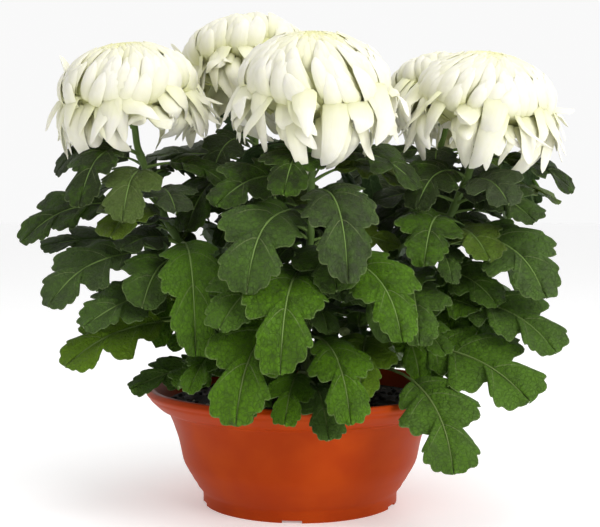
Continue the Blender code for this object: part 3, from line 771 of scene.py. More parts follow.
@dataclass
class Foliage:
    """Every leaf of the plant: the large ones, placed by the solid part's own rule, and then the added ones.

    Each pair for a nudge is for a leaf from the tables and for a free one. Each range is drawn from evenly.
    """

    blade_thickness: float = 0.0010
    stalk_thickness: float = 0.0028
    clearance: float = 0.0009
    pot_clearance: float = 0.0015
    flat_stalk: float = 0.04
    flat_width: float = 0.4
    widening: float = 1.04
    stalk_trim: float = 0.80
    front_turn: float = 0.62
    front_filling: int = 4
    back_filling: int = 9
    pot_sides: int = 36
    half_outline: tuple = (
        (0.74, 0.22), (0.40, 0.335), (1.00, 0.42), (0.94, 0.57), (0.40, 0.665), (0.62, 0.85)
    )
    midrib_shares: tuple = (0.14, 0.37, 0.66)
    near_enough: float = 0.003
    nudge_swings: tuple = (7.0, 28.0)
    nudge_steps: tuple = (8, 11)
    nudge_raise: float = 0.006
    nudge_shrink: float = 0.035
    nudge_arch: float = 0.002
    filling_low: float = 0.104
    filling_below_bloom: float = 0.034
    filling_reach: tuple = (0.095, 0.125)
    filling_fall: tuple = (0.010, 0.050)
    filling_width: tuple = (0.46, 0.56)
    filling_arch: float = 0.022
    filling_roll: float = 12.0
    inner_leaves: int = 225
    inner_seed: int = 19
    medium_share: float = 0.55
    front_share: float = 0.60
    inner_low: float = 0.098
    inner_lowest_tip: float = 0.094
    inner_rise: tuple = (-0.045, 0.010)
    inner_width: tuple = (0.44, 0.60)
    inner_turn: tuple = (0.2, 0.6)
    inner_roll: float = 16.0
    inner_arch: float = 0.014
    inner_stalk: float = 0.24
    seed: int = 7
    sight_step: float = 0.025
    sight_steps: tuple = (0.4, 0.0, -1.0, -2.0, -4.0)
    points: list = field(default_factory=list)
    faces: list = field(default_factory=list)
    stalk_points: set = field(default_factory=set)
    placed: list = field(default_factory=list)

    def draw_template(self) -> None:
        """Sets the flat leaf: its points as side and along, its triangles, and the points on its stalk."""
        share = LEAF_FORM.stalk_share
        blade = 1.0 - share
        half = [(self.flat_stalk, 0.0), (self.flat_stalk, share)]
        half += [(side, share + blade * along) for side, along in self.half_outline]
        midrib = [share + blade * part for part in self.midrib_shares]
        loop = half + [(0.0, 1.0)] + [(-side, along) for side, along in reversed(half)]
        self.points = loop + [(0.0, along) for along in midrib]
        count = len(loop)
        borders = [(i, (i + 1) % count) for i in range(count)]
        spine = [len(half)] + list(range(len(self.points) - 1, count - 1, -1))
        ribs = list(zip(spine, spine[1:]))
        scaled = [Vector((side * self.flat_width, along)) for side, along in self.points]
        out = delaunay_2d_cdt(scaled, borders + ribs, [], 1, 1e-6)
        for face in out[2]:
            a, b, c = (out[3][corner][0] for corner in face)
            turn = (scaled[b] - scaled[a]).cross(scaled[c] - scaled[a])
            self.faces.append((a, b, c) if turn > 0 else (a, c, b))
        self.stalk_points = {i for i, (_, along) in enumerate(self.points) if along <= share}

    def leaf_points(self, leaf: Leaf) -> list[Vector]:
        """The template's points, bent as the leaf is."""
        return [Vector(point) for point in LEAF_FORM.plain(leaf, *np.array(self.points).T)]

    def shell(self, points: list[Vector], blade_only: bool) -> BVHTree:
        """The leaf's two faces, moved apart by its thickness and clearance, for overlap tests."""
        faces = self.faces
        if blade_only:
            faces = [face for face in faces if not self.stalk_points.intersection(face)]
        normals = [Vector() for _ in points]
        for a, b, c in self.faces:
            normal = (points[b] - points[a]).cross(points[c] - points[a])
            for corner in (a, b, c):
                normals[corner] += normal
        normals = [normal.normalized() for normal in normals]
        both_sides = []
        for sign in (1.0, -1.0):
            for index, point in enumerate(points):
                on_stalk = index in self.stalk_points
                thick = self.stalk_thickness if on_stalk else self.blade_thickness
                both_sides.append(point + normals[index] * sign * (thick / 2.0 + self.clearance))
        count = len(points)
        both = list(faces) + [(a + count, b + count, c + count) for a, b, c in faces]
        return BVHTree.FromPolygons(both_sides, both)

    def stand_fixed(self) -> None:
        """Sets the stems, the blooms and the pot as obstacles, each a little larger than it is."""
        for shoot in SHOOTS:
            line = STEM_LINES[shoot.name]
            route = line.route()
            radii = [radius + self.clearance for radius in line.radii()]
            self.placed.append(Obstacle.tube(route, radii, shoot.name))
            plan = BloomPlan(shoot)
            points = []
            faces = []
            for petal in plan.petals():
                more, sides = plan.petal_mesh(petal, 0.001)
                faces += [tuple(corner + len(points) for corner in side) for side in sides]
                points += more
            self.placed.append(Obstacle.of(points, faces, "bloom"))
        self.placed.append(Obstacle.of(*self.pot_walls(), "pot"))

    def pot_walls(self) -> tuple[list, list]:
        """Points and faces of the pot and the soil's top, a little larger than they are."""
        spare = self.pot_clearance
        wall = [(radius + spare, height) for radius, height in BOWL.outside()]
        wall += [(radius - spare, height + spare) for radius, height in reversed(BOWL.inside())]
        points = []
        faces = []
        for side in range(self.pot_sides):
            turn = math.tau * side / self.pot_sides
            points += [Vector((r * math.cos(turn), r * math.sin(turn), z)) for r, z in wall]
            for step in range(len(wall) - 1):
                a = side * len(wall) + step
                b = (side + 1) % self.pot_sides * len(wall) + step
                faces.append((a, b, b + 1, a + 1))
        line = STEM_LINES["front"]
        radius = BOWL.inner_radius(line.soil_top)
        height = line.soil_top + line.soil_mound + spare
        corners = [(radius * x, radius * y, height) for x, y in ((1, 1), (-1, 1), (-1, -1), (1, -1))]
        faces.append(tuple(range(len(points), len(points) + 4)))
        points += [Vector(corner) for corner in corners]
        return points, faces

    def fits(self, leaf: Leaf) -> Obstacle | None:
        """The leaf as an obstacle if it is clear of all that is placed, or None."""
        points = self.leaf_points(leaf)
        low, high = box_of(points)
        whole = None
        blade = None
        for other in self.placed:
            near = self.near_enough
            if any(low[i] - near > other.high[i] or high[i] + near < other.low[i] for i in range(3)):
                continue
            if other.shoot == leaf.shoot:
                blade = blade or self.shell(points, True)
                if blade.overlap(other.tree):
                    return None
            else:
                whole = whole or self.shell(points, False)
                if whole.overlap(other.tree):
                    return None
        return Obstacle(self.shell(points, False), low, high, leaf.shoot)

    def nudges(self, leaf: Leaf, draw: Random, free: bool) -> Iterator[Leaf]:
        """The leaf as wanted, then the same leaf swung, raised and shortened in growing steps."""
        yield leaf
        swing = self.nudge_swings[free]
        for step in range(1, self.nudge_steps[free] + 1):
            for side in (1.0, -1.0):
                turned = leaf.heading + side * swing * (0.5 * step + 0.5)
                raised = leaf.tip + draw.uniform(-0.6, 1.0) * self.nudge_raise * step
                shrink = 1.0 - self.nudge_shrink * step
                yield replace(
                    leaf,
                    heading=turned,
                    tip=raised,
                    reach=leaf.reach * shrink,
                    width=leaf.width * shrink,
                    arch=leaf.arch + self.nudge_arch * step,
                )

    def chosen(self, shoot: str, row: tuple, turn: float) -> Leaf:
        """A leaf from a row of its table."""
        height, heading, reach, tip, width, stalk = row
        size = width * MM * self.widening
        stalk *= self.stalk_trim
        return Leaf(shoot, height * MM, heading, reach * MM, tip * MM, size, stalk=stalk, turn=turn)

    def filling(self, shoot: Shoot, count: int, draw: Random) -> list[Leaf]:
        """Leaves for the sides and the back, spiralling up the stem."""
        low = self.filling_low
        top = STEM_LINES[shoot.name].top - self.filling_below_bloom
        out = math.degrees(math.atan2(shoot.bloom[1], shoot.bloom[0]))
        leaves = []
        for index in range(count):
            share = index / (count - 1)
            height = low + (top - low) * share
            heading = out + math.degrees(index * GOLDEN_ANGLE)
            reach = draw.uniform(*self.filling_reach) * (1.0 - 0.20 * share)
            tip = height - draw.uniform(*self.filling_fall) * (0.4 + 0.6 * share)
            width = reach * draw.uniform(*self.filling_width)
            roll = draw.uniform(-self.filling_roll, self.filling_roll)
            leaves.append(Leaf(shoot.name, height, heading, reach, tip, width, self.filling_arch, roll))
        return leaves

    def wanted(self, draw: Random) -> list[tuple[Leaf, bool]]:
        """The leaves to place, and whether each may be swung freely."""
        wanted = []
        for shoot, rows in SEEN_LEAVES.items():
            wanted += [(self.chosen(shoot, row, self.front_turn), False) for row in rows]
        wanted += [(self.chosen(shoot, row, 0.0), False) for shoot, *row in BACK_LEAVES]
        for shoot in SHOOTS:
            count = self.back_filling if shoot.is_back else self.front_filling
            wanted += [(leaf, True) for leaf in self.filling(shoot, count, draw)]
        return wanted

    def place(self, leaf: Leaf, draw: Random, free: bool) -> Leaf | None:
        """Places the leaf where it is clear, and returns it as placed, or None."""
        for trial in self.nudges(leaf, draw, free):
            found = self.fits(trial)
            if found:
                self.placed.append(found)
                return trial
        return None

    def grow(self) -> dict[str, list[Leaf]]:
        """Places every leaf of the solid part, by shoot."""
        self.draw_template()
        self.stand_fixed()
        draw = Random(self.seed)
        stems = {shoot.name: [] for shoot in SHOOTS}
        for leaf, free in self.wanted(draw):
            found = self.place(leaf, draw, free)
            if found:
                stems[leaf.shoot].append(found)
        return stems

    def keep_sights(self) -> None:
        """Keeps the space round each bud, and before it, clear of the added leaves."""
        for bud in BUDS:
            root = STEM_LINES[bud.shoot].point(bud.height)
            middle = root + heading_vector(bud.heading) * bud.reach + UP * (bud.rise + bud.radius * 0.7)
            away = [Vector((0.0, step * self.sight_step, 0.0)) for step in self.sight_steps]
            route = [middle + step for step in away]
            radii = [bud.radius + self.clearance] * len(route)
            self.placed.append(Obstacle.tube(route, radii, "bud"))

    def grow_inner(self) -> dict[str, list[Leaf]]:
        """Places medium and small leaves among and behind the large ones, by shoot."""
        draw = Random(self.inner_seed)
        self.keep_sights()
        stems = {shoot.name: [] for shoot in SHOOTS}
        for index in range(self.inner_leaves):
            shoot = SHOOTS[index % len(SHOOTS)]
            kind = MEDIUM_LEAF if index < self.inner_leaves * self.medium_share else SMALL_LEAF
            top = STEM_LINES[shoot.name].top - kind.below_bloom
            height = draw.uniform(self.inner_low, top)
            to_front = draw.random() < self.front_share
            heading = draw.uniform(180.0, 360.0) if to_front else draw.uniform(0.0, 180.0)
            reach = draw.uniform(*kind.reach)
            tip = max(height + draw.uniform(*self.inner_rise), self.inner_lowest_tip)
            width = reach * draw.uniform(*self.inner_width)
            roll = draw.uniform(-self.inner_roll, self.inner_roll)
            turn = draw.uniform(*self.inner_turn)
            form = (width, self.inner_arch, roll, self.inner_stalk, turn)
            found = self.place(Leaf(shoot.name, height, heading, reach, tip, *form), draw, True)
            if found:
                stems[shoot.name].append(found)
        return stems


class Gathered:
    """Gathers the repeats of a piece, with their maps and values, and makes one mesh of them."""

    def __init__(self, maps: tuple[str, ...] = (), values: tuple[str, ...] = ()) -> None:
        self.crease = math.radians(62.0)
        self.points: list[Array] = []
        self.corners: list[Array] = []
        self.sizes: list[Array] = []
        self.slots: list[Array] = []
        self.maps: dict[str, list[Array]] = {name: [] for name in maps}
        self.values: dict[str, list[Array]] = {name: [] for name in values}
        self.count = 0

    def add(
        self, points: Array, faces: list, slot: int = 0, maps: dict | None = None, values: dict | None = None
    ) -> None:
        """Adds one repeat.

        Args:
            points: its points, one a row.
            faces: its faces, each the numbers of its corners.
            slot: its finish's place in the piece's list.
            maps: for each map, one row of two for each point, and 0 where a map isn't given.
            values: for each value, one number for each point or one for all.
        """
        maps = maps or {}
        values = values or {}
        total = len(points)
        self.points.append(np.asarray(points, float))
        self.sizes.append(np.array([len(face) for face in faces], np.int32))
        self.corners.append(np.concatenate([np.asarray(face, np.int32) for face in faces]) + self.count)
        self.slots.append(np.full(len(faces), slot, np.int32))
        for name, kept in self.maps.items():
            kept.append(np.asarray(maps.get(name, np.zeros((total, 2))), np.float32))
        for name, kept in self.values.items():
            given = np.asarray(values.get(name, 0.0), np.float32)
            kept.append(np.broadcast_to(given, (total,)))
        self.count += total

    def piece(self, name: str, finishes: list[Material]) -> Object:
        """One object at the origin with all that was gathered, smooth all over."""
        points = np.concatenate(self.points)
        corners = np.concatenate(self.corners)
        sizes = np.concatenate(self.sizes)
        mesh = bpy.data.meshes.new(name)
        mesh.vertices.add(len(points))
        mesh.vertices.foreach_set("co", points.astype(np.float32).ravel())
        mesh.loops.add(len(corners))
        mesh.loops.foreach_set("vertex_index", corners)
        mesh.polygons.add(len(sizes))
        mesh.polygons.foreach_set("loop_start", np.concatenate([[0], np.cumsum(sizes)[:-1]]).astype(np.int32))
        mesh.polygons.foreach_set("material_index", np.concatenate(self.slots))
        for map_name, kept in self.maps.items():
            layer = mesh.uv_layers.new(name=map_name)
            layer.uv.foreach_set("vector", np.concatenate(kept)[corners].ravel())
        for value_name, kept in self.values.items():
            layer = mesh.attributes.new(value_name, "FLOAT", "POINT")
            layer.data.foreach_set("value", np.concatenate(kept).astype(np.float32))
        mesh.update(calc_edges=True)
        mesh.validate()
        mesh.shade_smooth()
        mesh.set_sharp_from_angle(angle=self.crease)
        for finish in finishes:
            mesh.materials.append(finish)
        made = bpy.data.objects.new(name, mesh)
        bpy.context.scene.collection.objects.link(made)
        return made


def deselect() -> None:
    """Leaves nothing selected, so that an operator acts on the new piece alone."""
    for obj in bpy.context.selected_objects:
        obj.select_set(False)


def made_active(obj: Object) -> None:
    """Selects this object alone."""
    deselect()
    obj.select_set(True)
    bpy.context.view_layer.objects.active = obj


def apply_modifiers(obj: Object) -> None:
    """Applies every modifier of the object, in order."""
    made_active(obj)
    for modifier in list(obj.modifiers):
        bpy.ops.object.modifier_apply(modifier=modifier.name)


def taken(obj: Object) -> tuple[Array, list]:
    """The points and the faces of a shape that is modelled once, which is then removed."""
    points = np.array([vert.co for vert in obj.data.vertices])
    faces = [tuple(face.vertices) for face in obj.data.polygons]
    bpy.data.objects.remove(obj)
    return points, faces


@dataclass
class SheetPattern:
    """A closed thin sheet as a grid, modelled once and bent into each leaf or petal."""

    across: int
    along: int
    column: Array = field(init=False)
    row: Array = field(init=False)
    top: Array = field(init=False)
    faces: list = field(init=False)

    def __post_init__(self) -> None:
        """Models the sheet: a flat grid, given a wall."""
        deselect()
        bpy.ops.mesh.primitive_grid_add(x_subdivisions=self.across, y_subdivisions=self.along, size=2.0)
        sheet = bpy.context.active_object
        wall = sheet.modifiers.new("wall", "SOLIDIFY")
        wall.thickness = 0.02
        wall.offset = 0.0
        apply_modifiers(sheet)
        places, self.faces = taken(sheet)
        self.column = np.rint((places[:, 0] + 1.0) / 2.0 * self.across).astype(int)
        self.row = np.rint((places[:, 1] + 1.0) / 2.0 * self.along).astype(int)
        self.top = places[:, 2] > 0.0

    def grid(self) -> tuple[Array, Array]:
        """The sheet's places: -1 to 1 across, and 0 to 1 along, as two tables of rows and columns."""
        across = np.linspace(-1.0, 1.0, self.across + 1)
        along = np.linspace(0.0, 1.0, self.along + 1)
        return np.meshgrid(across, along)

    def shell(self, surface: Array, thickness: float) -> Array:
        """The closed sheet's points from its middle surface.

        Args:
            surface: a point for each row and column.
            thickness: the wall, in metres.

        Returns:
            The points, in the pattern's own order.
        """
        over = np.gradient(surface, axis=1)
        up = np.gradient(surface, axis=0)
        normals = unit(np.cross(over, up))
        sign = np.where(self.top, 0.5, -0.5)[:, None]
        return self.spread(surface) + self.spread(normals) * sign * thickness

    def spread(self, table: Array) -> Array:
        """A table's values, in the pattern's own order."""
        return table[self.row, self.column]


class Bench:
    """Builds one procedural material, node by node."""

    def __init__(self, name: str) -> None:
        self.material = bpy.data.materials.new(name)
        self.material.use_nodes = True
        self.tree = self.material.node_tree
        self.shader = self.tree.nodes["Principled BSDF"]

    def feed(self, socket: NodeSocket, value: Value) -> None:
        """Links a socket to another's output, or sets it to a number or colour."""
        if isinstance(value, NodeSocket):
            self.tree.links.new(value, socket)
        else:
            socket.default_value = value

    def node(self, kind: str, inputs: dict, **settings: str | bool) -> Node:
        """A new node with these inputs and settings."""
        made = self.tree.nodes.new(kind)
        for name, value in settings.items():
            setattr(made, name, value)
        for name, value in inputs.items():
            self.feed(made.inputs[name], value)
        return made

    def objects(self) -> NodeSocket:
        """The place on the object, in metres."""
        return self.node("ShaderNodeTexCoord", {}).outputs["Object"]

    def uv(self, name: str) -> NodeSocket:
        """The piece's own map of this name."""
        return self.node("ShaderNodeUVMap", {}, uv_map=name).outputs["UV"]

    def value(self, name: str) -> NodeSocket:
        """The piece's own value of this name."""
        return self.node("ShaderNodeAttribute", {}, attribute_name=name).outputs["Fac"]

    def split(self, vector: NodeSocket) -> tuple:
        """The X, the Y and the Z of a vector."""
        return tuple(self.node("ShaderNodeSeparateXYZ", {0: vector}).outputs)

    def joined(self, *parts: Value) -> NodeSocket:
        """A vector from its X, Y and Z."""
        return self.node("ShaderNodeCombineXYZ", dict(enumerate(parts))).outputs[0]

    def maths(self, operation: str, first: Value, second: Value = 0.0, clamp: bool = False) -> NodeSocket:
        """One step of arithmetic."""
        inputs = {0: first, 1: second}
        return self.node("ShaderNodeMath", inputs, operation=operation, use_clamp=clamp).outputs[0]

    def times(self, first: Value, second: Value) -> NodeSocket:
        """The product of two values."""
        return self.maths("MULTIPLY", first, second)

    def size(self, value: Value) -> NodeSocket:
        """The value without its sign."""
        return self.maths("ABSOLUTE", value)

    def stretched(self, vector: NodeSocket, scale: tuple) -> NodeSocket:
        """The vector, scaled by its own amount along each axis."""
        return self.node("ShaderNodeMapping", {"Vector": vector, "Scale": scale}).outputs[0]

    def ramp(
        self, value: Value, low: float, high: float, start: float = 0.0, end: float = 1.0
    ) -> NodeSocket:
        """A smooth change from start to end as the value goes from low to high."""
        inputs = dict(enumerate((value, low, high, start, end)))
        return self.node("ShaderNodeMapRange", inputs, interpolation_type="SMOOTHSTEP").outputs[0]

    def mix(self, share: Value, first: Value, second: Value) -> NodeSocket:
        """A colour between two."""
        return self.node("ShaderNodeMix", {0: share, 6: first, 7: second}, data_type="RGBA").outputs[2]

    def noise(self, vector: NodeSocket, scale: float, detail: float = 2.0) -> NodeSocket:
        """Soft cloudy values round 0.5."""
        inputs = {"Vector": vector, "Scale": scale, "Detail": detail}
        return self.node("ShaderNodeTexNoise", inputs).outputs["Fac"]

    def cells(self, vector: NodeSocket, scale: float) -> NodeSocket:
        """The distance to the nearest border of a net of cells."""
        inputs = {"Vector": vector, "Scale": scale}
        return self.node("ShaderNodeTexVoronoi", inputs, feature="DISTANCE_TO_EDGE").outputs["Distance"]

    def bump(
        self, height: Value, distance: float, strength: float = 1.0, under: NodeSocket | None = None
    ) -> NodeSocket:
        """A normal from a height, over another normal where one is given."""
        inputs = {"Strength": strength, "Distance": distance, "Height": height}
        if under is not None:
            inputs["Normal"] = under
        return self.node("ShaderNodeBump", inputs).outputs["Normal"]

    def set(self, **sockets: Value) -> None:
        """Sets or links sockets of the shader, named with underscores for spaces."""
        for name, value in sockets.items():
            self.feed(self.shader.inputs[name.replace("_", " ")], value)


def shade(red: float, green: float, blue: float) -> tuple[float, float, float, float]:
    """A colour socket's value."""
    return red, green, blue, 1.0


@dataclass(frozen=True)
class ClayFinish:
    """Satin terracotta-orange plastic with faint flow clouding and fine turned lines."""

    body: tuple = shade(0.355, 0.036, 0.001)
    worn: tuple = shade(0.410, 0.050, 0.002)
    roughness: float = 0.46

    def material(self) -> Material:
        """The finish as a material."""
        bench = Bench("terracotta_plastic_fine")
        place = bench.objects()
        cloud = bench.noise(place, 26.0, 3.0)
        grain = bench.noise(place, 900.0, 2.0)
        lines = bench.noise(bench.stretched(place, (4.0, 4.0, 420.0)), 1.0, 1.0)
        colour = bench.mix(bench.ramp(cloud, 0.35, 0.75), self.body, self.worn)
        relief = bench.maths("ADD", bench.times(grain, 0.35), lines)
        bench.set(
            Base_Color=colour,
            Roughness=bench.ramp(cloud, 0.25, 0.8, self.roughness - 0.05, self.roughness + 0.09),
            Normal=bench.bump(relief, 0.00012, 0.5),
            Specular_IOR_Level=0.08,
        )
        return bench.material


@dataclass(frozen=True)
class SoilFinish:
    """Dark damp crumbling peat, browner where it is dry, and pale where the piece's grain value says."""

    wet: tuple = shade(0.010, 0.007, 0.005)
    dry: tuple = shade(0.055, 0.034, 0.020)
    grain: tuple = shade(0.42, 0.38, 0.33)

    def material(self) -> Material:
        """The finish as a material."""
        bench = Bench("soil_fine")
        place = bench.objects()
        clods = bench.noise(place, 190.0, 5.0)
        crumbs = bench.noise(place, 900.0, 4.0)
        earth = bench.mix(bench.ramp(clods, 0.38, 0.72), self.wet, self.dry)
        relief = bench.maths("ADD", clods, bench.times(crumbs, 0.5))
        bench.set(
            Base_Color=bench.mix(bench.value("grain"), earth, self.grain),
            Roughness=bench.ramp(clods, 0.3, 0.7, 0.72, 0.98),
            Normal=bench.bump(relief, 0.0022, 0.9),
        )
        return bench.material


@dataclass(frozen=True)
class LeafFinish:
    """A leaf: dark to bright green by its tone, with pale veins, a netted skin with painted shade in its
    sunken net, grey that is partly felt and partly painted sheen, and a paler underside.
    """

    dark: tuple = shade(0.017, 0.031, 0.003)
    bright: tuple = shade(0.072, 0.175, 0.001)
    young: tuple = shade(0.140, 0.220, 0.012)
    # Grey: partly the felt's own colour, partly a painted sheen
    felt_sheen_grey: tuple = shade(0.056, 0.075, 0.036)
    vein: tuple = shade(0.235, 0.290, 0.120)
    under: tuple = shade(0.085, 0.160, 0.050)
    vein_rows: tuple = (0.235, 0.50, 0.80)
    vein_half_width: float = 0.0065

    def lateral_veins(self, bench: Bench, across: NodeSocket, along: NodeSocket) -> NodeSocket:
        """How much of a side vein shows at each place."""
        found = None
        for row in self.vein_rows:
            away = bench.size(bench.maths("SUBTRACT", along, row))
            line = bench.ramp(away, self.vein_half_width * 0.3, self.vein_half_width, 1.0, 0.0)
            found = line if found is None else bench.maths("MAXIMUM", found, line)
        fade = bench.ramp(bench.size(across), 0.30, 0.92, 0.45, 0.0)
        return bench.times(found, fade)

    def material(self) -> Material:
        """The finish as a material."""
        bench = Bench("leaf_fine")
        plan = bench.uv("plan")
        side, _, _ = bench.split(plan)
        across, along, _ = bench.split(bench.uv("veins"))
        midrib = bench.ramp(bench.size(side), 0.008, 0.026, 0.90, 0.0)
        laterals = self.lateral_veins(bench, across, along)
        net = bench.ramp(bench.cells(plan, 9.0), 0.0, 0.09, 1.0, 0.0)
        fine_net = bench.ramp(bench.cells(plan, 26.0), 0.0, 0.10, 1.0, 0.0)
        veins = bench.maths("MAXIMUM", midrib, laterals)
        drawn = bench.maths("ADD", veins, bench.times(fine_net, 0.03), clamp=True)
        place = bench.objects()
        cloud = bench.noise(place, 60.0, 3.0)
        mottle = bench.noise(place, 260.0, 3.0)
        tone = bench.maths("ADD", bench.value("tone"), bench.ramp(cloud, 0.3, 0.7, -0.20, 0.20))
        tone = bench.maths("ADD", tone, bench.ramp(mottle, 0.3, 0.7, -0.16, 0.16), clamp=True)
        blade = bench.mix(tone, self.dark, self.bright)
        # Painted shade: darker along the sunken net of small veins
        blade = bench.mix(bench.times(net, 0.30), blade, self.dark)
        # Grey felt and painted sheen, by the piece's value
        blade = bench.mix(bench.value("felt_and_sheen"), blade, self.felt_sheen_grey)
        blade = bench.mix(bench.value("young"), blade, self.young)
        rim = bench.ramp(bench.size(across), 0.965, 0.995, 0.0, 0.30)
        blade = bench.mix(rim, blade, self.vein)
        blade = bench.mix(drawn, blade, self.vein)
        blade = bench.mix(bench.times(bench.value("under"), 0.75), blade, self.under)
        nets = bench.maths("ADD", net, bench.times(fine_net, 0.5))
        sunk = bench.maths("SUBTRACT", bench.times(nets, -0.5), bench.times(veins, 1.2))
        relief = bench.bump(sunk, 0.0009, 0.90)
        relief = bench.bump(bench.noise(plan, 5.0, 2.0), 0.0030, 0.80, relief)
        fuzz = bench.noise(place, 1500.0, 2.0)
        bench.set(
            Base_Color=blade,
            Roughness=bench.ramp(mottle, 0.25, 0.75, 0.40, 0.58),
            Normal=bench.bump(fuzz, 0.00015, 0.35, relief),
            Specular_IOR_Level=0.17,
            Sheen_Weight=0.02,
            Sheen_Roughness=0.45,
        )
        return bench.material


@dataclass(frozen=True)
class StemFinish:
    """A ribbed green stem, browner low down, with paler young stalks where the tone is high."""

    green: tuple = shade(0.060, 0.120, 0.022)
    brown: tuple = shade(0.060, 0.050, 0.022)
    pale: tuple = shade(0.190, 0.290, 0.075)

    def material(self) -> Material:
        """The finish as a material."""
        bench = Bench("stem_fine")
        place = bench.objects()
        cloud = bench.noise(place, 90.0, 4.0)
        _, _, height = bench.split(place)
        woody = bench.times(bench.ramp(height, 0.085, 0.20, 0.8, 0.0), cloud)
        colour = bench.mix(bench.value("tone"), self.green, self.pale)
        colour = bench.mix(woody, colour, self.brown)
        fibres = bench.noise(bench.stretched(place, (1800.0, 1800.0, 90.0)), 1.0, 2.0)
        bench.set(
            Base_Color=colour,
            Roughness=bench.ramp(cloud, 0.3, 0.7, 0.45, 0.62),
            Normal=bench.bump(fibres, 0.0002, 0.5),
            Specular_IOR_Level=0.20,
            Sheen_Weight=0.03,
        )
        return bench.material


@dataclass(frozen=True)
class PetalFinish:
    """A soft creamy white petal, yellow-green at its root and at the eye, with painted shade deep in the
    folds, and fine long veins.
    """

    white: tuple = shade(0.885, 0.865, 0.755)
    cream: tuple = shade(0.850, 0.835, 0.610)
    # Yellow-green for the petal's root, darkened for painted shade deep in the bloom
    deep_tint_and_shade: tuple = shade(0.700, 0.710, 0.330)
    eye: tuple = shade(0.740, 0.730, 0.250)

    def material(self) -> Material:
        """The finish as a material."""
        bench = Bench("petal_fine")
        across, along, _ = bench.split(bench.uv("petal"))
        own = bench.value("own")
        lines = bench.joined(bench.times(across, 16.0), bench.times(along, 1.6), bench.times(own, 60.0))
        veins = bench.noise(lines, 1.0, 2.0)
        cloud = bench.noise(bench.objects(), 120.0, 2.0)
        cream = bench.maths("ADD", own, bench.ramp(cloud, 0.35, 0.7, -0.3, 0.5), clamp=True)
        colour = bench.mix(bench.times(cream, 0.55), self.white, self.cream)
        streak = bench.times(bench.ramp(veins, 0.42, 0.62), 0.22)
        colour = bench.mix(streak, colour, self.cream)
        # Greener at the root, with painted shade deep in the bloom and in the folds
        colour = bench.mix(bench.value("deep_tint_and_shade"), colour, self.deep_tint_and_shade)
        colour = bench.mix(bench.value("warmth"), colour, self.eye)
        bench.set(
            Base_Color=colour,
            Roughness=0.50,
            Normal=bench.bump(veins, 0.0004, 0.45),
            Specular_IOR_Level=0.35,
            Subsurface_Weight=0.22,
            Subsurface_Radius=(0.9, 1.0, 0.55),
            Subsurface_Scale=0.004,
            Sheen_Weight=0.08,
        )
        return bench.material


@dataclass(frozen=True)
class FloorFinish:
    """A plain pale studio floor."""

    pale: tuple = shade(0.90, 0.90, 0.90)

    def material(self) -> Material:
        """The finish as a material."""
        bench = Bench("studio_floor")
        cloud = bench.noise(bench.objects(), 3.0, 1.0)
        base = bench.mix(cloud, self.pale, shade(0.92, 0.92, 0.92))
        bench.set(Base_Color=base, Roughness=0.75, Emission_Color=base, Emission_Strength=0.30)
        return bench.material


def settle(piece: Object, nodes: tuple[str, ...], slot: Slot) -> None:
    """Ties a finished piece to the frame and reports it.

    Args:
        piece: the piece, at the origin.
        nodes: the CAD nodes that it stands for.
        slot: the record's material slot of the piece; not used.
    """
    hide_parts(*nodes)
    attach(piece, "root")
    piece.data.calc_loop_triangles()
    LOG.info("%s: %d triangles for %s", piece.name, len(piece.data.loop_triangles), ", ".join(nodes))


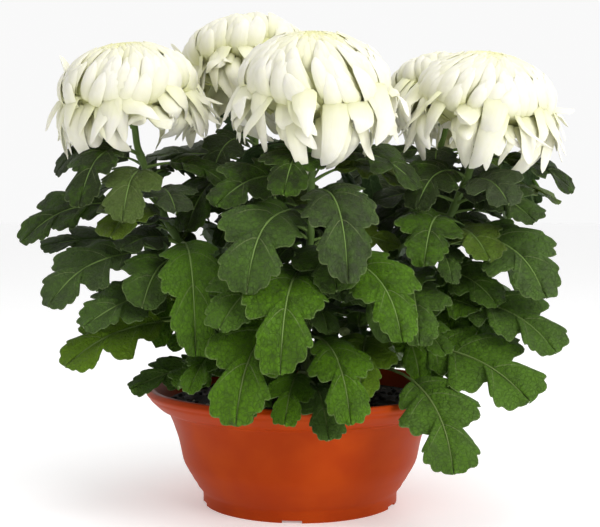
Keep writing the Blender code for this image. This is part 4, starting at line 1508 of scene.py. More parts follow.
@dataclass
class Bowl:
    """The moulded bowl: a turned wall with a rolled lip, fine bands, foot ribs, notches and drain holes."""

    sides: int = 160
    drain_count: int = 5
    drain_radius: float = 0.005
    drain_circle: float = 0.048
    notch_width: float = 0.016
    notch_height: float = 0.002
    notch_turn: float = math.radians(-4.5)
    lip_lines: tuple = (0.0905, 0.0790)
    rib_heights: tuple = (0.0150, 0.0205, 0.0262)
    rib_rise: float = 0.0005
    rib_width: float = 0.0012
    line_depth: float = 0.00055
    line_width: float = 0.0009
    steps: int = 7

    def relief(self, height: float) -> float:
        """How far the outside stands out at a height: shallow lines under the lip, ribs at the foot."""
        rise = 0.0
        for line in self.lip_lines:
            rise -= self.line_depth * math.exp(-(((height - line) / self.line_width) ** 2))
        for rib in self.rib_heights:
            rise += self.rib_rise * math.exp(-(((height - rib) / self.rib_width) ** 2))
        return rise

    def profile(self) -> list[tuple[float, float]]:
        """The turned section, from the inside of the floor over the lip to the underside."""
        inside = BOWL.inside()
        outside = BOWL.outside()
        lip = [(outside[0][0] - 0.0020, outside[0][1] - 0.0002), (outside[0][0], outside[0][1] - 0.0004)]
        rows = np.array(inside + lip + outside[1:])
        fine = []
        for index in range(len(rows) - 1):
            count = self.steps if rows[index, 0] > inside[-1][0] - 0.03 else 3
            for step in range(count):
                fine.append(rows[index] + (rows[index + 1] - rows[index]) * step / count)
        fine.append(rows[-1])
        fine = self.rounded(np.array(fine))
        first_outer = int(np.argmax(fine[:, 1]))
        for index in range(first_outer + 1, len(fine)):
            fine[index, 0] += self.relief(fine[index, 1])
        inner_foot = BOWL.foot_radius - BOWL.foot_width
        return [tuple(row) for row in fine] + [(inner_foot, 0.0), (inner_foot, BOWL.recess)]

    def rounded(self, rows: Array) -> Array:
        """The section with its corners eased, its two ends kept."""
        for _ in range(2):
            eased = rows.copy()
            eased[1:-1] = rows[1:-1] * 0.5 + (rows[:-2] + rows[2:]) * 0.25
            rows = eased
        return rows

    def turn_wall(self) -> Object:
        """The bowl's wall: a ring, extruded and resized along the section, and capped at both ends."""
        profile = self.profile()
        radius, height = profile[0]
        deselect()
        bpy.ops.mesh.primitive_circle_add(vertices=self.sides, radius=radius, location=(0.0, 0.0, 0.0))
        bowl = bpy.context.active_object
        bowl.name = bowl.data.name = "bowl"
        bpy.ops.object.mode_set(mode="EDIT")
        bpy.ops.mesh.select_all(action="SELECT")
        bpy.ops.transform.translate(value=(0.0, 0.0, height))
        for next_radius, next_height in profile[1:]:
            bpy.ops.mesh.extrude_edges_move()
            ratio = next_radius / radius
            bpy.ops.transform.resize(value=(ratio, ratio, 1.0), center_override=(0.0, 0.0, 0.0))
            bpy.ops.transform.translate(value=(0.0, 0.0, next_height - height))
            radius, height = next_radius, next_height
        bpy.ops.mesh.edge_face_add()
        bpy.ops.mesh.select_all(action="DESELECT")
        bpy.ops.object.mode_set(mode="OBJECT")
        for vert in bowl.data.vertices[: self.sides]:
            vert.select = True
        bpy.ops.object.mode_set(mode="EDIT")
        bpy.ops.mesh.select_mode(type="VERT")
        bpy.ops.mesh.edge_face_add()
        bpy.ops.mesh.select_all(action="SELECT")
        bpy.ops.mesh.normals_make_consistent(inside=False)
        bpy.ops.object.mode_set(mode="OBJECT")
        return bowl

    def cutters(self) -> Collection:
        """The drain holes and the foot's notches, as solids to cut away."""
        held = bpy.data.collections.new("bowl_cutters")
        bpy.context.scene.collection.children.link(held)
        for index in range(self.drain_count):
            turn = self.notch_turn + math.tau * index / self.drain_count
            middle = Vector((math.sin(turn), -math.cos(turn), 0.0))
            deselect()
            place = middle * self.drain_circle
            bpy.ops.mesh.primitive_cylinder_add(
                vertices=24, radius=self.drain_radius, depth=0.03, location=place
            )
            self.move_to(held)
            place = middle * BOWL.foot_radius
            bpy.ops.mesh.primitive_cube_add(size=1.0, location=place, rotation=(0.0, 0.0, turn))
            bpy.context.active_object.scale = (self.notch_width, 0.02, 2.0 * self.notch_height)
            self.move_to(held)
        return held

    def move_to(self, held: Collection) -> None:
        """Puts the newest object in this collection alone."""
        newest = bpy.context.active_object
        for collection in list(newest.users_collection):
            collection.objects.unlink(newest)
        held.objects.link(newest)

    def build(self) -> Object:
        """The finished bowl."""
        bowl = self.turn_wall()
        held = self.cutters()
        boolean = bowl.modifiers.new("openings", "BOOLEAN")
        boolean.operation = "DIFFERENCE"
        boolean.operand_type = "COLLECTION"
        boolean.collection = held
        apply_modifiers(bowl)
        for cutter in list(held.objects):
            bpy.data.objects.remove(cutter)
        bpy.data.collections.remove(held)
        made_active(bowl)
        bpy.ops.object.shade_smooth_by_angle(angle=math.radians(38.0))
        bowl.data.materials.clear()
        bowl.data.materials.append(ClayFinish().material())
        settle(bowl, ("pot",), Slot.CLAY)
        return bowl


@dataclass
class PottingSoil:
    """The soil: a low rough mound that fills the bowl, with loose crumbs and a few pale grains."""

    top: float = 0.085
    mound: float = 0.003
    bottom: float = 0.060
    rings: int = 34
    spokes: int = 110
    roughness: float = 0.0030
    crumbs: int = 380
    crumb_sizes: tuple = (0.0007, 0.0026)
    lumpiness: float = 0.45
    pale_share: float = 0.05
    seed: int = 5

    @property
    def radius(self) -> float:
        """The soil's radius at its top edge."""
        return BOWL.inner_radius(self.top) - 1.5 * GAP

    def height_at(self, x: float, y: float) -> float:
        """The soil's height at a place."""
        share = min(math.hypot(x, y) / self.radius, 1.0)
        level = self.top + self.mound * (1.0 - share**2)
        rough = noise.fractal(Vector((x * 70.0, y * 70.0, 0.3)), 0.9, 2.2, 4)
        return level + self.roughness * rough * min(1.0, (1.0 - share) * 14.0) - 0.001

    def bed(self) -> tuple[Array, list]:
        """The soil's closed body: rings from its middle out, and a wall down inside the bowl."""
        points = [(0.0, 0.0, self.height_at(0.0, 0.0))]
        for ring in range(1, self.rings + 1):
            radius = self.radius * ring / self.rings
            for spoke in range(self.spokes):
                turn = math.tau * spoke / self.spokes
                x = radius * math.cos(turn)
                y = radius * math.sin(turn)
                points.append((x, y, self.height_at(x, y)))
        low = BOWL.inner_radius(self.bottom) - 1.5 * GAP
        for spoke in range(self.spokes):
            turn = math.tau * spoke / self.spokes
            points.append((low * math.cos(turn), low * math.sin(turn), self.bottom))
        faces = []
        for spoke in range(self.spokes):
            after = (spoke + 1) % self.spokes
            faces.append((0, 1 + spoke, 1 + after))
            for ring in range(self.rings):
                a = 1 + ring * self.spokes
                b = a + self.spokes
                faces.append((a + spoke, b + spoke, b + after, a + after))
        last = 1 + self.rings * self.spokes
        faces.append(tuple(reversed(range(last, last + self.spokes))))
        return np.array(points), faces

    def crumb(self) -> tuple[Array, list]:
        """One crumb's plain shape, modelled once."""
        deselect()
        bpy.ops.mesh.primitive_ico_sphere_add(subdivisions=2, radius=1.0)
        return taken(bpy.context.active_object)

    def build(self) -> Object:
        """The finished soil."""
        heap = Gathered(values=("grain",))
        heap.add(*self.bed())
        shape, faces = self.crumb()
        draw = Random(self.seed)
        for _ in range(self.crumbs):
            away = self.radius * 0.97 * math.sqrt(draw.random())
            turn = draw.uniform(0.0, math.tau)
            x = away * math.cos(turn)
            y = away * math.sin(turn)
            size = draw.uniform(*self.crumb_sizes)
            offset = draw.uniform(0.0, 100.0)
            aside = Vector((offset, 0, 0))
            lumpy = [1.0 + self.lumpiness * noise.noise(Vector(point) * 1.3 + aside) for point in shape]
            stretch = np.array([draw.uniform(0.7, 1.3), draw.uniform(0.7, 1.3), draw.uniform(0.5, 0.9)])
            points = shape * np.array(lumpy)[:, None] * stretch * size
            points += np.array([x, y, self.height_at(x, y) + 0.3 * size])
            heap.add(points, faces, values={"grain": 1.0 if draw.random() < self.pale_share else 0.0})
        soil = heap.piece("potting_soil", [SoilFinish().material()])
        settle(soil, ("soil",), Slot.SOIL)
        return soil


@dataclass(frozen=True)
class BladePlan:
    """The flat leaf blade, in half-widths: side veins lean forward from the midrib to the edge.

    Each row gives a place along the veins' fan, the height on the midrib where the vein leaves it,
    and the place on the edge that it reaches.
    """

    length: float = 3.2
    fan: tuple = (
        (0.00, 0.00, 0.05, -0.02), (0.07, 0.04, 0.24, 0.16), (0.14, 0.10, 0.60, 0.36),
        (0.20, 0.17, 0.80, 0.60), (0.26, 0.26, 0.76, 0.90), (0.325, 0.50, 0.36, 0.98),
        (0.39, 0.56, 0.84, 1.20), (0.46, 0.64, 1.06, 1.46), (0.53, 0.78, 1.00, 1.80),
        (0.59, 0.98, 0.78, 2.06), (0.645, 1.40, 0.36, 2.06), (0.70, 1.52, 0.58, 2.28),
        (0.78, 1.72, 0.68, 2.58), (0.86, 2.04, 0.58, 2.90), (0.93, 2.46, 0.36, 3.12),
        (1.00, 3.17, 0.05, 3.17),
    )
    tooth: float = 0.125
    teeth: int = 12
    puff: float = 0.075
    ripple: float = 0.075
    groove: float = 0.055
    edge: float = 0.05

    def lay(
        self, across: Array, along: Array, draw: Random
    ) -> tuple[Array, Array]:
        """The flat blade's places.

        Args:
            across: -1 to 1, from the left edge to the right one.
            along: 0 to 1, along the fan.
            draw: random numbers for how the leaf differs from others.

        Returns:
            The sideways and lengthways places, in half-widths.
        """
        fan = np.array(self.fan)
        flat_along = along[:, 0]
        root, reach, level = smooth_through(fan[:, 0], fan[:, 1:], flat_along).T
        side = np.zeros_like(across)
        length = np.zeros_like(across)
        for sign, half in ((-1.0, across[0] < 0.0), (1.0, across[0] >= 0.0)):
            sway = 1.0 + 0.10 * np.sin(math.tau * (flat_along * 2.4 + draw.random()))
            phase = draw.random()
            waves = np.abs(np.sin(math.pi * (self.teeth * flat_along + phase)))
            crimp = 1.0 + self.tooth * (waves**0.8 - 0.72) * smooth_step(0.0, 0.1, flat_along)
            end = np.minimum(reach * sway * crimp, 1.10)
            rise = (level - root) * (0.5 + 0.5 * sway) * crimp
            share = np.abs(across[:, half])
            side[:, half] = sign * share * end[:, None]
            length[:, half] = root[:, None] + share**1.15 * rise[:, None]
        return side, length

    def lift(self, across: Array, along: Array, draw: Random) -> Array:
        """How the blade puffs up between its veins and waves at its edge, in half-widths."""
        share = np.abs(across)
        rows = 0.5 - 0.5 * np.cos(math.tau * along * 3.4)
        puff = np.sin(math.pi * np.clip(share * 1.1, 0.0, 1.0)) * rows
        phase = draw.uniform(0.0, math.tau)
        ripple = np.sin(math.tau * along * 3.0 + phase + across) * share**2
        groove = np.exp(-((share / 0.10) ** 2))
        return self.puff * puff + self.ripple * ripple - self.groove * groove - self.edge * share**4


BLADE_PLAN = BladePlan()


@dataclass
class LeafyStem:
    """One leafy stem: its ribbed stem, stalked leaves, buds and the leafy cup under its bloom."""

    shoot: Shoot
    leaves: list
    inner: list
    large: SheetPattern
    small: SheetPattern
    scale: SheetPattern
    thickness: float = 0.00060
    stalk_radii: tuple = (0.0017, 0.00105, 0.00030)
    cup_radius: float = 0.0085
    cup_height: float = 0.012
    bracts: int = 18
    bract_places: tuple = (0.3, 0.62, 0.85, 1.0)
    bract_heights: tuple = (-0.0085, -0.0065, -0.0035, -0.0010)
    bract_thickness: float = 0.0005
    bud_scales: int = 20
    bud_scale_thickness: float = 0.00035
    stem_sides: int = 14
    stem_ridge: float = 0.055
    stem_sway: float = 0.0005
    swelling: float = 0.0007
    swelling_length: float = 0.0028
    young_share: float = 0.10

    def gather_leaf(self, heap: Gathered, leaf: Leaf, pattern: SheetPattern, draw: Random) -> None:
        """Adds one leaf: its blade, and its stalk running on as the midrib."""
        route = LEAF_FORM.route(leaf)
        across, along = pattern.grid()
        side, length = BLADE_PLAN.lay(across, along, draw)
        lift = BLADE_PLAN.lift(across, along, draw) * leaf.width / 2.0
        surface = LEAF_FORM.bent(leaf, route, side, length / BLADE_PLAN.length, lift)
        high = smooth_step(0.10, 0.26, np.array(leaf.tip))
        tone = float(np.clip(0.95 - 0.85 * high + draw.uniform(-0.16, 0.16), 0.0, 1.0))
        # How much grey felt and painted sheen the leaf takes, more on the higher leaves
        felt_and_sheen = float(np.clip(draw.uniform(-0.45, 0.40) + 0.30 * high, 0.0, 0.75))
        young = draw.uniform(0.25, 0.65) if draw.random() < self.young_share else 0.0
        points = pattern.shell(surface, self.thickness)
        plan = np.stack([pattern.spread(side), pattern.spread(length)], axis=1)
        veins = np.stack([pattern.spread(across), pattern.spread(along)], axis=1)
        under = np.where(pattern.top, 0.0, 1.0)
        values = {"tone": tone, "felt_and_sheen": felt_and_sheen, "young": young, "under": under}
        heap.add(points, pattern.faces, 0, {"plan": plan, "veins": veins}, values)
        self.gather_stalk(heap, leaf, route, tone)

    def gather_stalk(self, heap: Gathered, leaf: Leaf, route: tuple, tone: float) -> None:
        """Adds a leaf's stalk, which goes on under the blade as its midrib."""
        shares = np.concatenate([np.linspace(0.0, leaf.stalk, 6), np.linspace(leaf.stalk, 0.97, 11)[1:]])
        line = np.array([bezier(route, share) for share in shares])
        start, middle, end = self.stalk_radii
        radii = np.interp(shares, (0.0, leaf.stalk, 1.0), (start, middle, end)) * (0.6 + leaf.width / 0.12)
        on_blade = np.clip((shares - leaf.stalk) / (1.0 - leaf.stalk), 0.0, 1.0)
        _, _, normals = LEAF_FORM.blade_frame(leaf, route, on_blade)
        blended = smooth_step(0.0, 0.12, on_blade)[:, None]
        line = line - normals * (radii * 0.75 + self.thickness * 0.3)[:, None] * blended
        heap.add(*tube_shell(line, radii, 6), 1, values={"tone": 0.55 + 0.35 * tone})

    def gather_stem(self, heap: Gathered) -> None:
        """Adds the stem, ribbed and a little swollen where leaves leave it, and the cup at its top."""
        line = STEM_LINES[self.shoot.name]
        rows = np.array(line.route())
        places = np.arange(len(rows), dtype=float)
        fine = np.linspace(0.0, len(rows) - 1.0, 84)
        route = smooth_through(places, rows, fine)
        sway = np.sin(fine[:, None] * 5.0 + np.array([0.0, 1.7])) * smooth_step(1.5, 3.0, fine)[:, None]
        route[:, :2] += self.stem_sway * sway
        radii = np.interp(fine, places, line.radii())
        for leaf in self.leaves:
            away = (route[:, 2] - leaf.height) / self.swelling_length
            radii += self.swelling * np.exp(-(away**2))
        radii = np.minimum(radii, np.interp(fine, places, line.radii()) * 1.3)
        tone = np.repeat(np.interp(fine, (0.0, 12.0), (0.0, 0.45)), self.stem_sides)
        heap.add(*tube_shell(route, radii, self.stem_sides, self.stem_ridge), 1, values={"tone": tone})
        axis = np.array(self.shoot.axis)
        seat = np.array(line.seat)
        heights = np.linspace(0.0, 1.0, 9)
        cup = seat - axis * (self.cup_height * (1.0 - heights))[:, None]
        widths = line.top_radius + (self.cup_radius - line.top_radius) * heights**1.6
        heap.add(*tube_shell(cup, widths, 18), 1, values={"tone": 0.55})

    def gather_bracts(self, heap: Gathered, draw: Random) -> None:
        """Adds the small green scales in two rows that hold the bloom from below."""
        axis = self.shoot.axis
        turn = np.array(UP.rotation_difference(axis).to_matrix())
        seat = np.array(STEM_LINES[self.shoot.name].seat)
        for index in range(self.bracts):
            heading = math.tau * index / self.bracts * 2.0 + draw.uniform(-0.1, 0.1)
            outer = index < self.bracts // 2
            out = np.array([math.cos(heading), math.sin(heading), 0.0])
            reach = 0.0165 if outer else 0.0190
            local = np.array(self.bract_places)[:, None] * out * reach
            local[:, 2] = np.array(self.bract_heights) + (0.0 if outer else 0.0012)
            line = seat + local @ turn.T
            backs = np.tile(turn @ (out * 0.5 - np.array([0.0, 0.0, 0.8])), (4, 1))
            surface = PetalSheet(0.0030, 0.8, 0.5, 0.5, 0.2).surface(self.scale, line, backs)
            points = self.scale.shell(surface, self.bract_thickness)
            # The bracts take grey felt and painted sheen
            heap.add(points, self.scale.faces, 0, values={"tone": 0.45, "felt_and_sheen": 0.6, "under": 0.0})

    def gather_bud(self, heap: Gathered, bud: Bud, draw: Random) -> None:
        """Adds one bud: its stalk, its round body and the scales that wrap it."""
        root = STEM_LINES[bud.shoot].point(bud.height)
        out = heading_vector(bud.heading)
        end = root + out * bud.reach + UP * bud.rise
        bend = root + out * (bud.reach * 0.8) + UP * (bud.rise * 0.35)
        line = np.array([bezier((root, bend, end), step / 12.0) for step in range(13)])
        heap.add(*tube_shell(line, np.linspace(0.0014, 0.0009, 13), 8), 1, values={"tone": 0.6})
        middle = np.array(end + UP * (bud.radius * 0.7))
        turns = np.linspace(0.08, math.pi - 0.08, 12)
        body = middle + np.stack([0.0 * turns, 0.0 * turns, -np.cos(turns) * bud.radius * 0.88], axis=1)
        shell = tube_shell(body, np.sin(turns) * bud.radius * 0.94, 16)
        heap.add(*shell, values={"tone": 0.9, "young": 0.85})
        for index in range(self.bud_scales):
            heading = index * GOLDEN_ANGLE + draw.uniform(-0.1, 0.1)
            around = np.array([math.cos(heading), math.sin(heading), 0.0])
            start = 0.35 + 1.1 * (index / self.bud_scales)
            angles = start + np.array([-0.35, 0.15, 0.65, 1.05])
            size = bud.radius * (1.0 + 0.02 * (index % 3))
            line = middle + size * np.sin(angles)[:, None] * around
            line[:, 2] = middle[2] - np.cos(angles) * size * 0.92
            backs = unit(line - middle)
            surface = PetalSheet(bud.radius * 0.42, 0.9, 0.4, 0.45, 0.1).surface(self.scale, line, backs)
            points = self.scale.shell(surface, self.bud_scale_thickness)
            heap.add(points, self.scale.faces, 0, values={"tone": 0.8, "young": draw.uniform(0.35, 0.9)})

    def build(self, finishes: list[Material]) -> Object:
        """The finished leafy stem.

        Args:
            finishes: the leaf's and the stem's materials.

        Returns:
            The piece.
        """
        heap = Gathered(maps=("plan", "veins"), values=("tone", "felt_and_sheen", "young", "under"))
        draw = Random(self.shoot.seed + 100)
        self.gather_stem(heap)
        self.gather_bracts(heap, draw)
        for leaf in self.leaves:
            self.gather_leaf(heap, leaf, self.large, draw)
        for leaf in self.inner:
            self.gather_leaf(heap, leaf, self.small, draw)
        for bud in BUDS:
            if bud.shoot == self.shoot.name:
                self.gather_bud(heap, bud, draw)
        piece = heap.piece(f"leafy_stem_{self.shoot.name}", finishes)
        settle(piece, (f"stem_{self.shoot.name}",), Slot.LEAF)
        return piece


@dataclass(frozen=True)
class PetalSheet:
    """How one petal's sheet widens, folds and ends."""

    half_width: float
    cup: float
    root: float
    widest: float
    end: float
    blunt: float = 2.2
    ridge: float = 0.035
    crowding: float = 1.35

    def width_at(self, along: Array) -> Array:
        """The half-width at each place along the petal."""
        rising = self.root + (1.0 - self.root) * smooth_step(0.0, self.widest, along)
        past = np.clip((along - self.widest) / (1.0 - self.widest), 0.0, 1.0)
        falling = self.end + (1.0 - self.end) * np.maximum(1.0 - past**self.blunt, 0.0) ** 0.62
        return self.half_width * rising * falling

    def surface(self, pattern: SheetPattern, line: Array, backs: Array) -> Array:
        """The petal's middle surface, a point for each row and column of the pattern."""
        across = np.linspace(-1.0, 1.0, pattern.across + 1)
        along = 1.0 - (1.0 - np.linspace(0.0, 1.0, pattern.along + 1)) ** self.crowding
        places = np.linspace(0.0, 1.0, len(line))
        middle = smooth_through(places, line, along)
        back = smooth_through(places, backs, along)
        tangent = unit(np.gradient(middle, axis=0))
        side = unit(np.cross(tangent, back))
        back = np.cross(side, tangent)
        width = self.width_at(along)[:, None]
        turn = across[None, :] * self.cup
        spread = np.sin(turn) / math.sin(self.cup) * width
        depth = (1.0 - np.cos(turn)) / math.sin(self.cup) * width
        ridges = self.ridge * width * np.cos(3.0 * math.pi * across)[None, :]
        surface = middle[:, None, :] + side[:, None, :] * spread[..., None]
        return surface - back[:, None, :] * (depth - ridges)[..., None]


@dataclass(frozen=True)
class PetalTint:
    """One petal's shades: how deep in the bloom each station lies, which greens its root and paints shade
    there, the eye's colour, and its own number.
    """

    deep_tint_and_shade: tuple
    warmth: float
    own: float
    is_eye: bool = False


@dataclass
class Bloom:
    """One incurved bloom: petals that close over the eye, and a skirt of petals that hang below.

    The ball and the eye are spirals. Of three numbers for an angle in degrees, the first is at the
    spiral's start, the second is added towards its end, and the third is the power that it grows by.
    The skirt has three rows, from the top down, with one number for each.
    """

    shoot: Shoot
    pattern: SheetPattern
    floret: SheetPattern
    ball_petals: int = 150
    skirt_petals: int = 66
    eye_petals: int = 84
    heart_size: float = 0.85
    thickness: float = 0.00036
    ball_places: tuple = (0.0, 0.22, 0.50, 0.78, 1.0)
    ball_scales: tuple = ((0.55, 0.80), (0.77, 0.955), (0.885, 0.985), (0.935, 1.0), (0.945, 0.985))
    ball_root: tuple = (58.0, 70.0, 0.7)
    ball_tip: tuple = (7.0, 56.0, 1.1)
    ball_raise: float = 20.0
    ball_wave: float = 0.34
    ball_widths: tuple = (0.0046, 0.0028)
    loose_share: float = 0.16
    loose_rise: tuple = (0.012, 0.036)
    eye_stations: tuple = ((-0.9, 0.78), (0.0, 0.915), (0.6, 0.955), (1.0, 0.962))
    eye_polar: tuple = (2.0, 26.0, 0.6)
    eye_span: float = 8.0
    eye_widths: tuple = (0.0026, 0.0016)
    skirt_swings: tuple = (0.0, 0.08, 0.20)
    skirt_reaches: tuple = (0.99, 0.95, 0.88)
    skirt_hinges: tuple = (0.01, -0.13, -0.20)
    skirt_widths: tuple = (0.0098, 0.0090, 0.0080)
    narrow_share: float = 0.14
    narrow_width: float = 0.42
    stray_width: float = 0.0062
    plan: BloomPlan = field(init=False)

    def __post_init__(self) -> None:
        """Sets the plan that keeps the bloom clear of the others."""
        self.plan = BloomPlan(self.shoot)

    def gather(
        self, heap: Gathered, line: tuple | list, backs: tuple | list, sheet: PetalSheet, tint: PetalTint
    ) -> None:
        """Adds one petal, on the small pattern if it belongs to the eye.

        Args:
            heap: where the petals are gathered.
            line: the petal's middle line, in parts of the bloom's radius.
            backs: the outward directions of its back.
            sheet: its outline and fold.
            tint: its shades.
        """
        pattern = self.floret if tint.is_eye else self.pattern
        turn = self.plan.frame()
        placed = np.array(self.plan.placed_line(tuple(line)))
        turned = np.array([turn @ back for back in backs])
        points = pattern.shell(sheet.surface(pattern, placed, turned), self.thickness)
        across, along = pattern.grid()
        # Painted shade: darker towards the root, deep in the bloom, at the edges near the root and on the
        # inner face
        deep = np.interp(along, np.linspace(0.0, 1.0, len(tint.deep_tint_and_shade)), tint.deep_tint_and_shade)
        deep = deep + 0.18 * np.abs(across) ** 3 * (1.0 - along)
        inside = np.where(pattern.top, 0.0, 0.20) * (1.0 - pattern.spread(along))
        deep_tint_and_shade = np.clip(pattern.spread(deep) + inside, 0.0, 1.0)
        values = {"deep_tint_and_shade": deep_tint_and_shade, "warmth": tint.warmth, "own": tint.own}
        petal = np.stack([pattern.spread(across), pattern.spread(along)], axis=1)
        heap.add(points, pattern.faces, 0, {"petal": petal}, values)

    def heart(self, heap: Gathered) -> None:
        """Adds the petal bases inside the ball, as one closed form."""
        deselect()
        bpy.ops.mesh.primitive_uv_sphere_add(segments=28, ring_count=16, radius=self.heart_size)
        places, faces = taken(bpy.context.active_object)
        turn = self.plan.frame()
        points = []
        for x, y, z in places:
            height = PETAL_RULE.dome_height * (1.0 if z > 0.0 else PETAL_RULE.underside)
            points.append(self.shoot.centre + turn @ (Vector((x, y, z * height)) * self.shoot.radius))
        # The heart takes the bloom's full painted shade
        heap.add(np.array(points), faces, 0, values={"deep_tint_and_shade": 1.0, "own": 0.5})

    def ball(self, heap: Gathered, draw: Random) -> None:
        """Adds the long incurved petals of the ball, from the inner ones out."""
        phase = draw.uniform(0.0, math.tau)
        for index in range(self.ball_petals):
            share = (index + 0.5) / self.ball_petals
            azimuth = index * GOLDEN_ANGLE + draw.uniform(-0.16, 0.16)
            raised = self.ball_raise * share * draw.random() ** 2.0
            root = math.radians(grown(self.ball_root, share) + draw.uniform(-6.0, 6.0) - raised)
            tip = math.radians(grown(self.ball_tip, share) + draw.uniform(-10.0, 12.0) * share)
            swirl = self.ball_wave * math.sin(azimuth + phase) + draw.uniform(-0.24, 0.24)
            lift = draw.uniform(-0.014, 0.012)
            loose = draw.uniform(*self.loose_rise) if draw.random() < self.loose_share else 0.0
            line = []
            backs = []
            for along, (deep, outer) in zip(self.ball_places, self.ball_scales):
                angle = root + (tip - root) * along
                size = deep + (outer - deep) * share + lift + loose * along**2
                point = PETAL_RULE.dome_point(angle, azimuth + swirl * along, size)
                line.append(point)
                backs.append(PETAL_RULE.dome_back(point))
            width = (self.ball_widths[0] + self.ball_widths[1] * share) * draw.uniform(0.80, 1.24)
            sheet = PetalSheet(width, draw.uniform(0.45, 0.85), 0.74, draw.uniform(0.38, 0.55), 0.10, 2.0)
            warmth = 0.40 * (1.0 - share) ** 2
            tint = PetalTint((1.0, 0.60, 0.16, 0.03, 0.0), warmth, draw.random())
            self.gather(heap, line, backs, sheet, tint)

    def eye(self, heap: Gathered, draw: Random) -> None:
        """Adds the short packed petals of the eye, curled in over its middle."""
        for index in range(self.eye_petals):
            share = (index + 0.5) / self.eye_petals
            polar = math.radians(grown(self.eye_polar, share))
            azimuth = index * GOLDEN_ANGLE + draw.uniform(-0.2, 0.2)
            line = []
            backs = []
            for along, scale in self.eye_stations:
                angle = max(polar - math.radians(self.eye_span) * along, math.radians(1.0))
                point = PETAL_RULE.dome_point(angle, azimuth, scale - 0.012 * (1.0 - share))
                line.append(point)
                outward = heading_vector(math.degrees(azimuth))
                backs.append((PETAL_RULE.dome_back(point) + outward).normalized())
            sheet = PetalSheet(self.eye_widths[0] + self.eye_widths[1] * share, 1.1, 0.7, 0.55, 0.12)
            warmth = 0.80 - 0.45 * share
            tint = PetalTint((0.9, 0.5, 0.1, 0.0), warmth, draw.random(), True)
            self.gather(heap, line, backs, sheet, tint)

    def skirt(self, heap: Gathered, draw: Random) -> None:
        """Adds the lower petals: out from under the ball, then hanging, their tips swung or curled."""
        for index in range(self.skirt_petals):
            row = index % 3
            azimuth = index * GOLDEN_ANGLE + draw.uniform(-0.20, 0.20)
            flare = draw.random() ** 2.0
            drop = draw.uniform(0.40, 0.98) * (1.0 - 0.45 * flare)
            swing = 0.34 * flare + draw.uniform(-0.14, 0.06) - self.skirt_swings[row]
            reach = self.skirt_reaches[row] + draw.uniform(-0.03, 0.03)
            hinge = self.skirt_hinges[row] + draw.uniform(-0.12, 0.10)
            curl = draw.uniform(-0.16, 0.14)
            turn = draw.uniform(-0.42, 0.42)
            stations = (
                (0.52, hinge - 0.12),
                (reach - 0.10, hinge + 0.02),
                (reach + 0.06, hinge - 0.10 - 0.16 * drop),
                (reach + 0.08 + 0.5 * swing, hinge - 0.60 * drop),
                (reach + 0.05 + swing + curl, min(hinge, -0.10) - 0.88 * drop + 0.5 * abs(curl)),
            )
            line = []
            backs = []
            for step, (radius, height) in enumerate(stations):
                angle = azimuth + turn * (step / 4.0) ** 1.5
                out = level_vector(angle)
                line.append(out * radius + UP * height)
                lean = turn * 2.0 * step / 4.0
                side = Vector((-out.y, out.x, 0.0)) * lean
                backs.append((out + side + UP * (1.1 - 0.30 * step)).normalized())
            narrow = self.narrow_width if draw.random() < self.narrow_share else 1.0
            width = self.skirt_widths[row] * draw.uniform(0.70, 1.15) * narrow
            sheet = PetalSheet(width, draw.uniform(0.25, 0.80), 0.85, draw.uniform(0.25, 0.50), 0.04, 1.5)
            tint = PetalTint((1.0, 0.60, 0.16, 0.02, 0.0), 0.0, draw.random())
            self.gather(heap, line, backs, sheet, tint)

    def strays(self, heap: Gathered, draw: Random) -> None:
        """Adds the petals that stand away from the bloom."""
        for heading, reach, height in self.shoot.strays:
            petal = PETAL_RULE.stray(heading, reach, height)
            sheet = PetalSheet(self.stray_width, 0.95, 0.7, 0.45, 0.08)
            tint = PetalTint((0.7, 0.2, 0.0, 0.0), 0.0, draw.random())
            self.gather(heap, petal.line, petal.backs, sheet, tint)

    def build(self, finish: Material) -> Object:
        """The finished bloom."""
        heap = Gathered(maps=("petal",), values=("deep_tint_and_shade", "warmth", "own"))
        draw = Random(self.shoot.seed)
        self.heart(heap)
        self.ball(heap, draw)
        self.eye(heap, draw)
        self.skirt(heap, draw)
        self.strays(heap, draw)
        piece = heap.piece(f"petals_{self.shoot.name}", [finish])
        settle(piece, (f"bloom_{self.shoot.name}",), Slot.PETAL)
        return piece


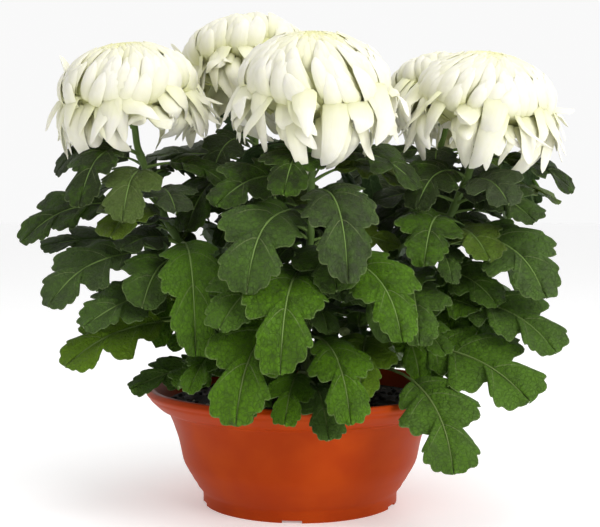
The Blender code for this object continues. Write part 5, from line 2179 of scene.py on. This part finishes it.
@dataclass
class Studio:
    """A plain pale floor, soft light all round, and the camera at the photograph's place."""

    camera_place: tuple = (0.0, -1.0, 0.2514)
    camera_tilt: float = 0.0510
    lens: float = 71.0
    sensor: float = 36.0
    floor_radius: float = 14.0
    aim: tuple = (0.0, 0.0, 0.22)
    lamps: tuple = (
        ("key", (1.10, -1.30, 1.10), 1.0, 23.0),
        ("top", (0.10, -0.30, 1.70), 1.1, 8.0),
    )
    wall_from: float = -0.35
    wall_to: float = 0.55
    room: float = 0.48
    wall: float = 0.95

    def stand(self, name: str, data: bpy.types.ID, place: tuple, turn: tuple) -> Object:
        """Stands the camera or a lamp in its place."""
        holder = bpy.data.objects.new(name, data)
        holder.location = place
        holder.rotation_euler = turn
        bpy.context.scene.collection.objects.link(holder)
        return holder

    def stand_camera(self) -> None:
        """Sets the camera."""
        camera = bpy.data.cameras.new("camera")
        camera.lens = self.lens
        camera.sensor_width = self.sensor
        camera.clip_start = 0.01
        camera.clip_end = 60.0
        turn = (math.pi / 2.0 - self.camera_tilt, 0.0, 0.0)
        bpy.context.scene.camera = self.stand("camera", camera, self.camera_place, turn)

    def lay_floor(self) -> None:
        """Lays the floor that the bowl stands on."""
        deselect()
        bpy.ops.mesh.primitive_circle_add(vertices=96, radius=self.floor_radius, fill_type="TRIFAN")
        floor = bpy.context.active_object
        floor.name = "studio_floor"
        floor.data.materials.append(FloorFinish().material())
        floor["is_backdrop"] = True

    def hang_lamp(self, name: str, place: tuple, size: float, power: float) -> None:
        """Hangs one soft square lamp, turned to the plant.

        Args:
            name: the lamp's name.
            place: where it hangs.
            size: its side.
            power: its power in watts.
        """
        lamp = bpy.data.lights.new(name, "AREA")
        lamp.size = size
        lamp.energy = power
        aim = Vector(self.aim) - Vector(place)
        self.stand(name, lamp, place, aim.to_track_quat("-Z", "Y").to_euler())

    def fill_with_light(self) -> None:
        """Sets the even light from all round, and the lamps."""
        bpy.context.scene.view_settings.view_transform = "Standard"
        world = bpy.data.worlds.new("studio")
        bpy.context.scene.world = world
        world.use_nodes = True
        tree = world.node_tree
        axes = tree.nodes.new("ShaderNodeSeparateXYZ")
        tree.links.new(tree.nodes.new("ShaderNodeTexCoord").outputs["Generated"], axes.inputs[0])
        strength = tree.nodes.new("ShaderNodeMapRange")
        for row, value in enumerate((self.wall_from, self.wall_to, self.room, self.wall), 1):
            strength.inputs[row].default_value = value
        tree.links.new(axes.outputs["Y"], strength.inputs["Value"])
        background = tree.nodes["Background"]
        background.inputs["Color"].default_value = shade(1.0, 1.0, 1.0)
        tree.links.new(strength.outputs["Result"], background.inputs["Strength"])
        for lamp in self.lamps:
            self.hang_lamp(*lamp)

    def build(self) -> None:
        """Sets up the studio."""
        self.stand_camera()
        self.lay_floor()
        self.fill_with_light()


def write_sizes() -> None:
    """Works out the CAD box and the box of what is shown, as plain lists."""
    boxes = {"cad": CAD_BOX, "visual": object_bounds()}
    rows = {name: [[float(number) for number in corner] for corner in box] for name, box in boxes.items()}


def main() -> None:
    """Builds every sub-assembly in order, and reports each piece."""
    logging.basicConfig(level=logging.INFO, format="%(name)s: %(message)s")
    Studio().build()
    Bowl().build()
    PottingSoil().build()
    foliage = Foliage()
    leaves = foliage.grow()
    inner = foliage.grow_inner()
    counts = sum(len(found) for found in leaves.values()), sum(len(found) for found in inner.values())
    LOG.info("leaves placed: %d large, %d added", *counts)
    large = SheetPattern(12, 66)
    small = SheetPattern(8, 26)
    petal = SheetPattern(6, 9)
    floret = SheetPattern(4, 4)
    scale = SheetPattern(4, 5)
    green = [LeafFinish().material(), StemFinish().material()]
    white = PetalFinish().material()
    for shoot in SHOOTS:
        LeafyStem(shoot, leaves[shoot.name], inner[shoot.name], large, small, scale).build(green)
        Bloom(shoot, petal, floret).build(white)
    write_sizes()


if __name__ == "__main__":
    main()
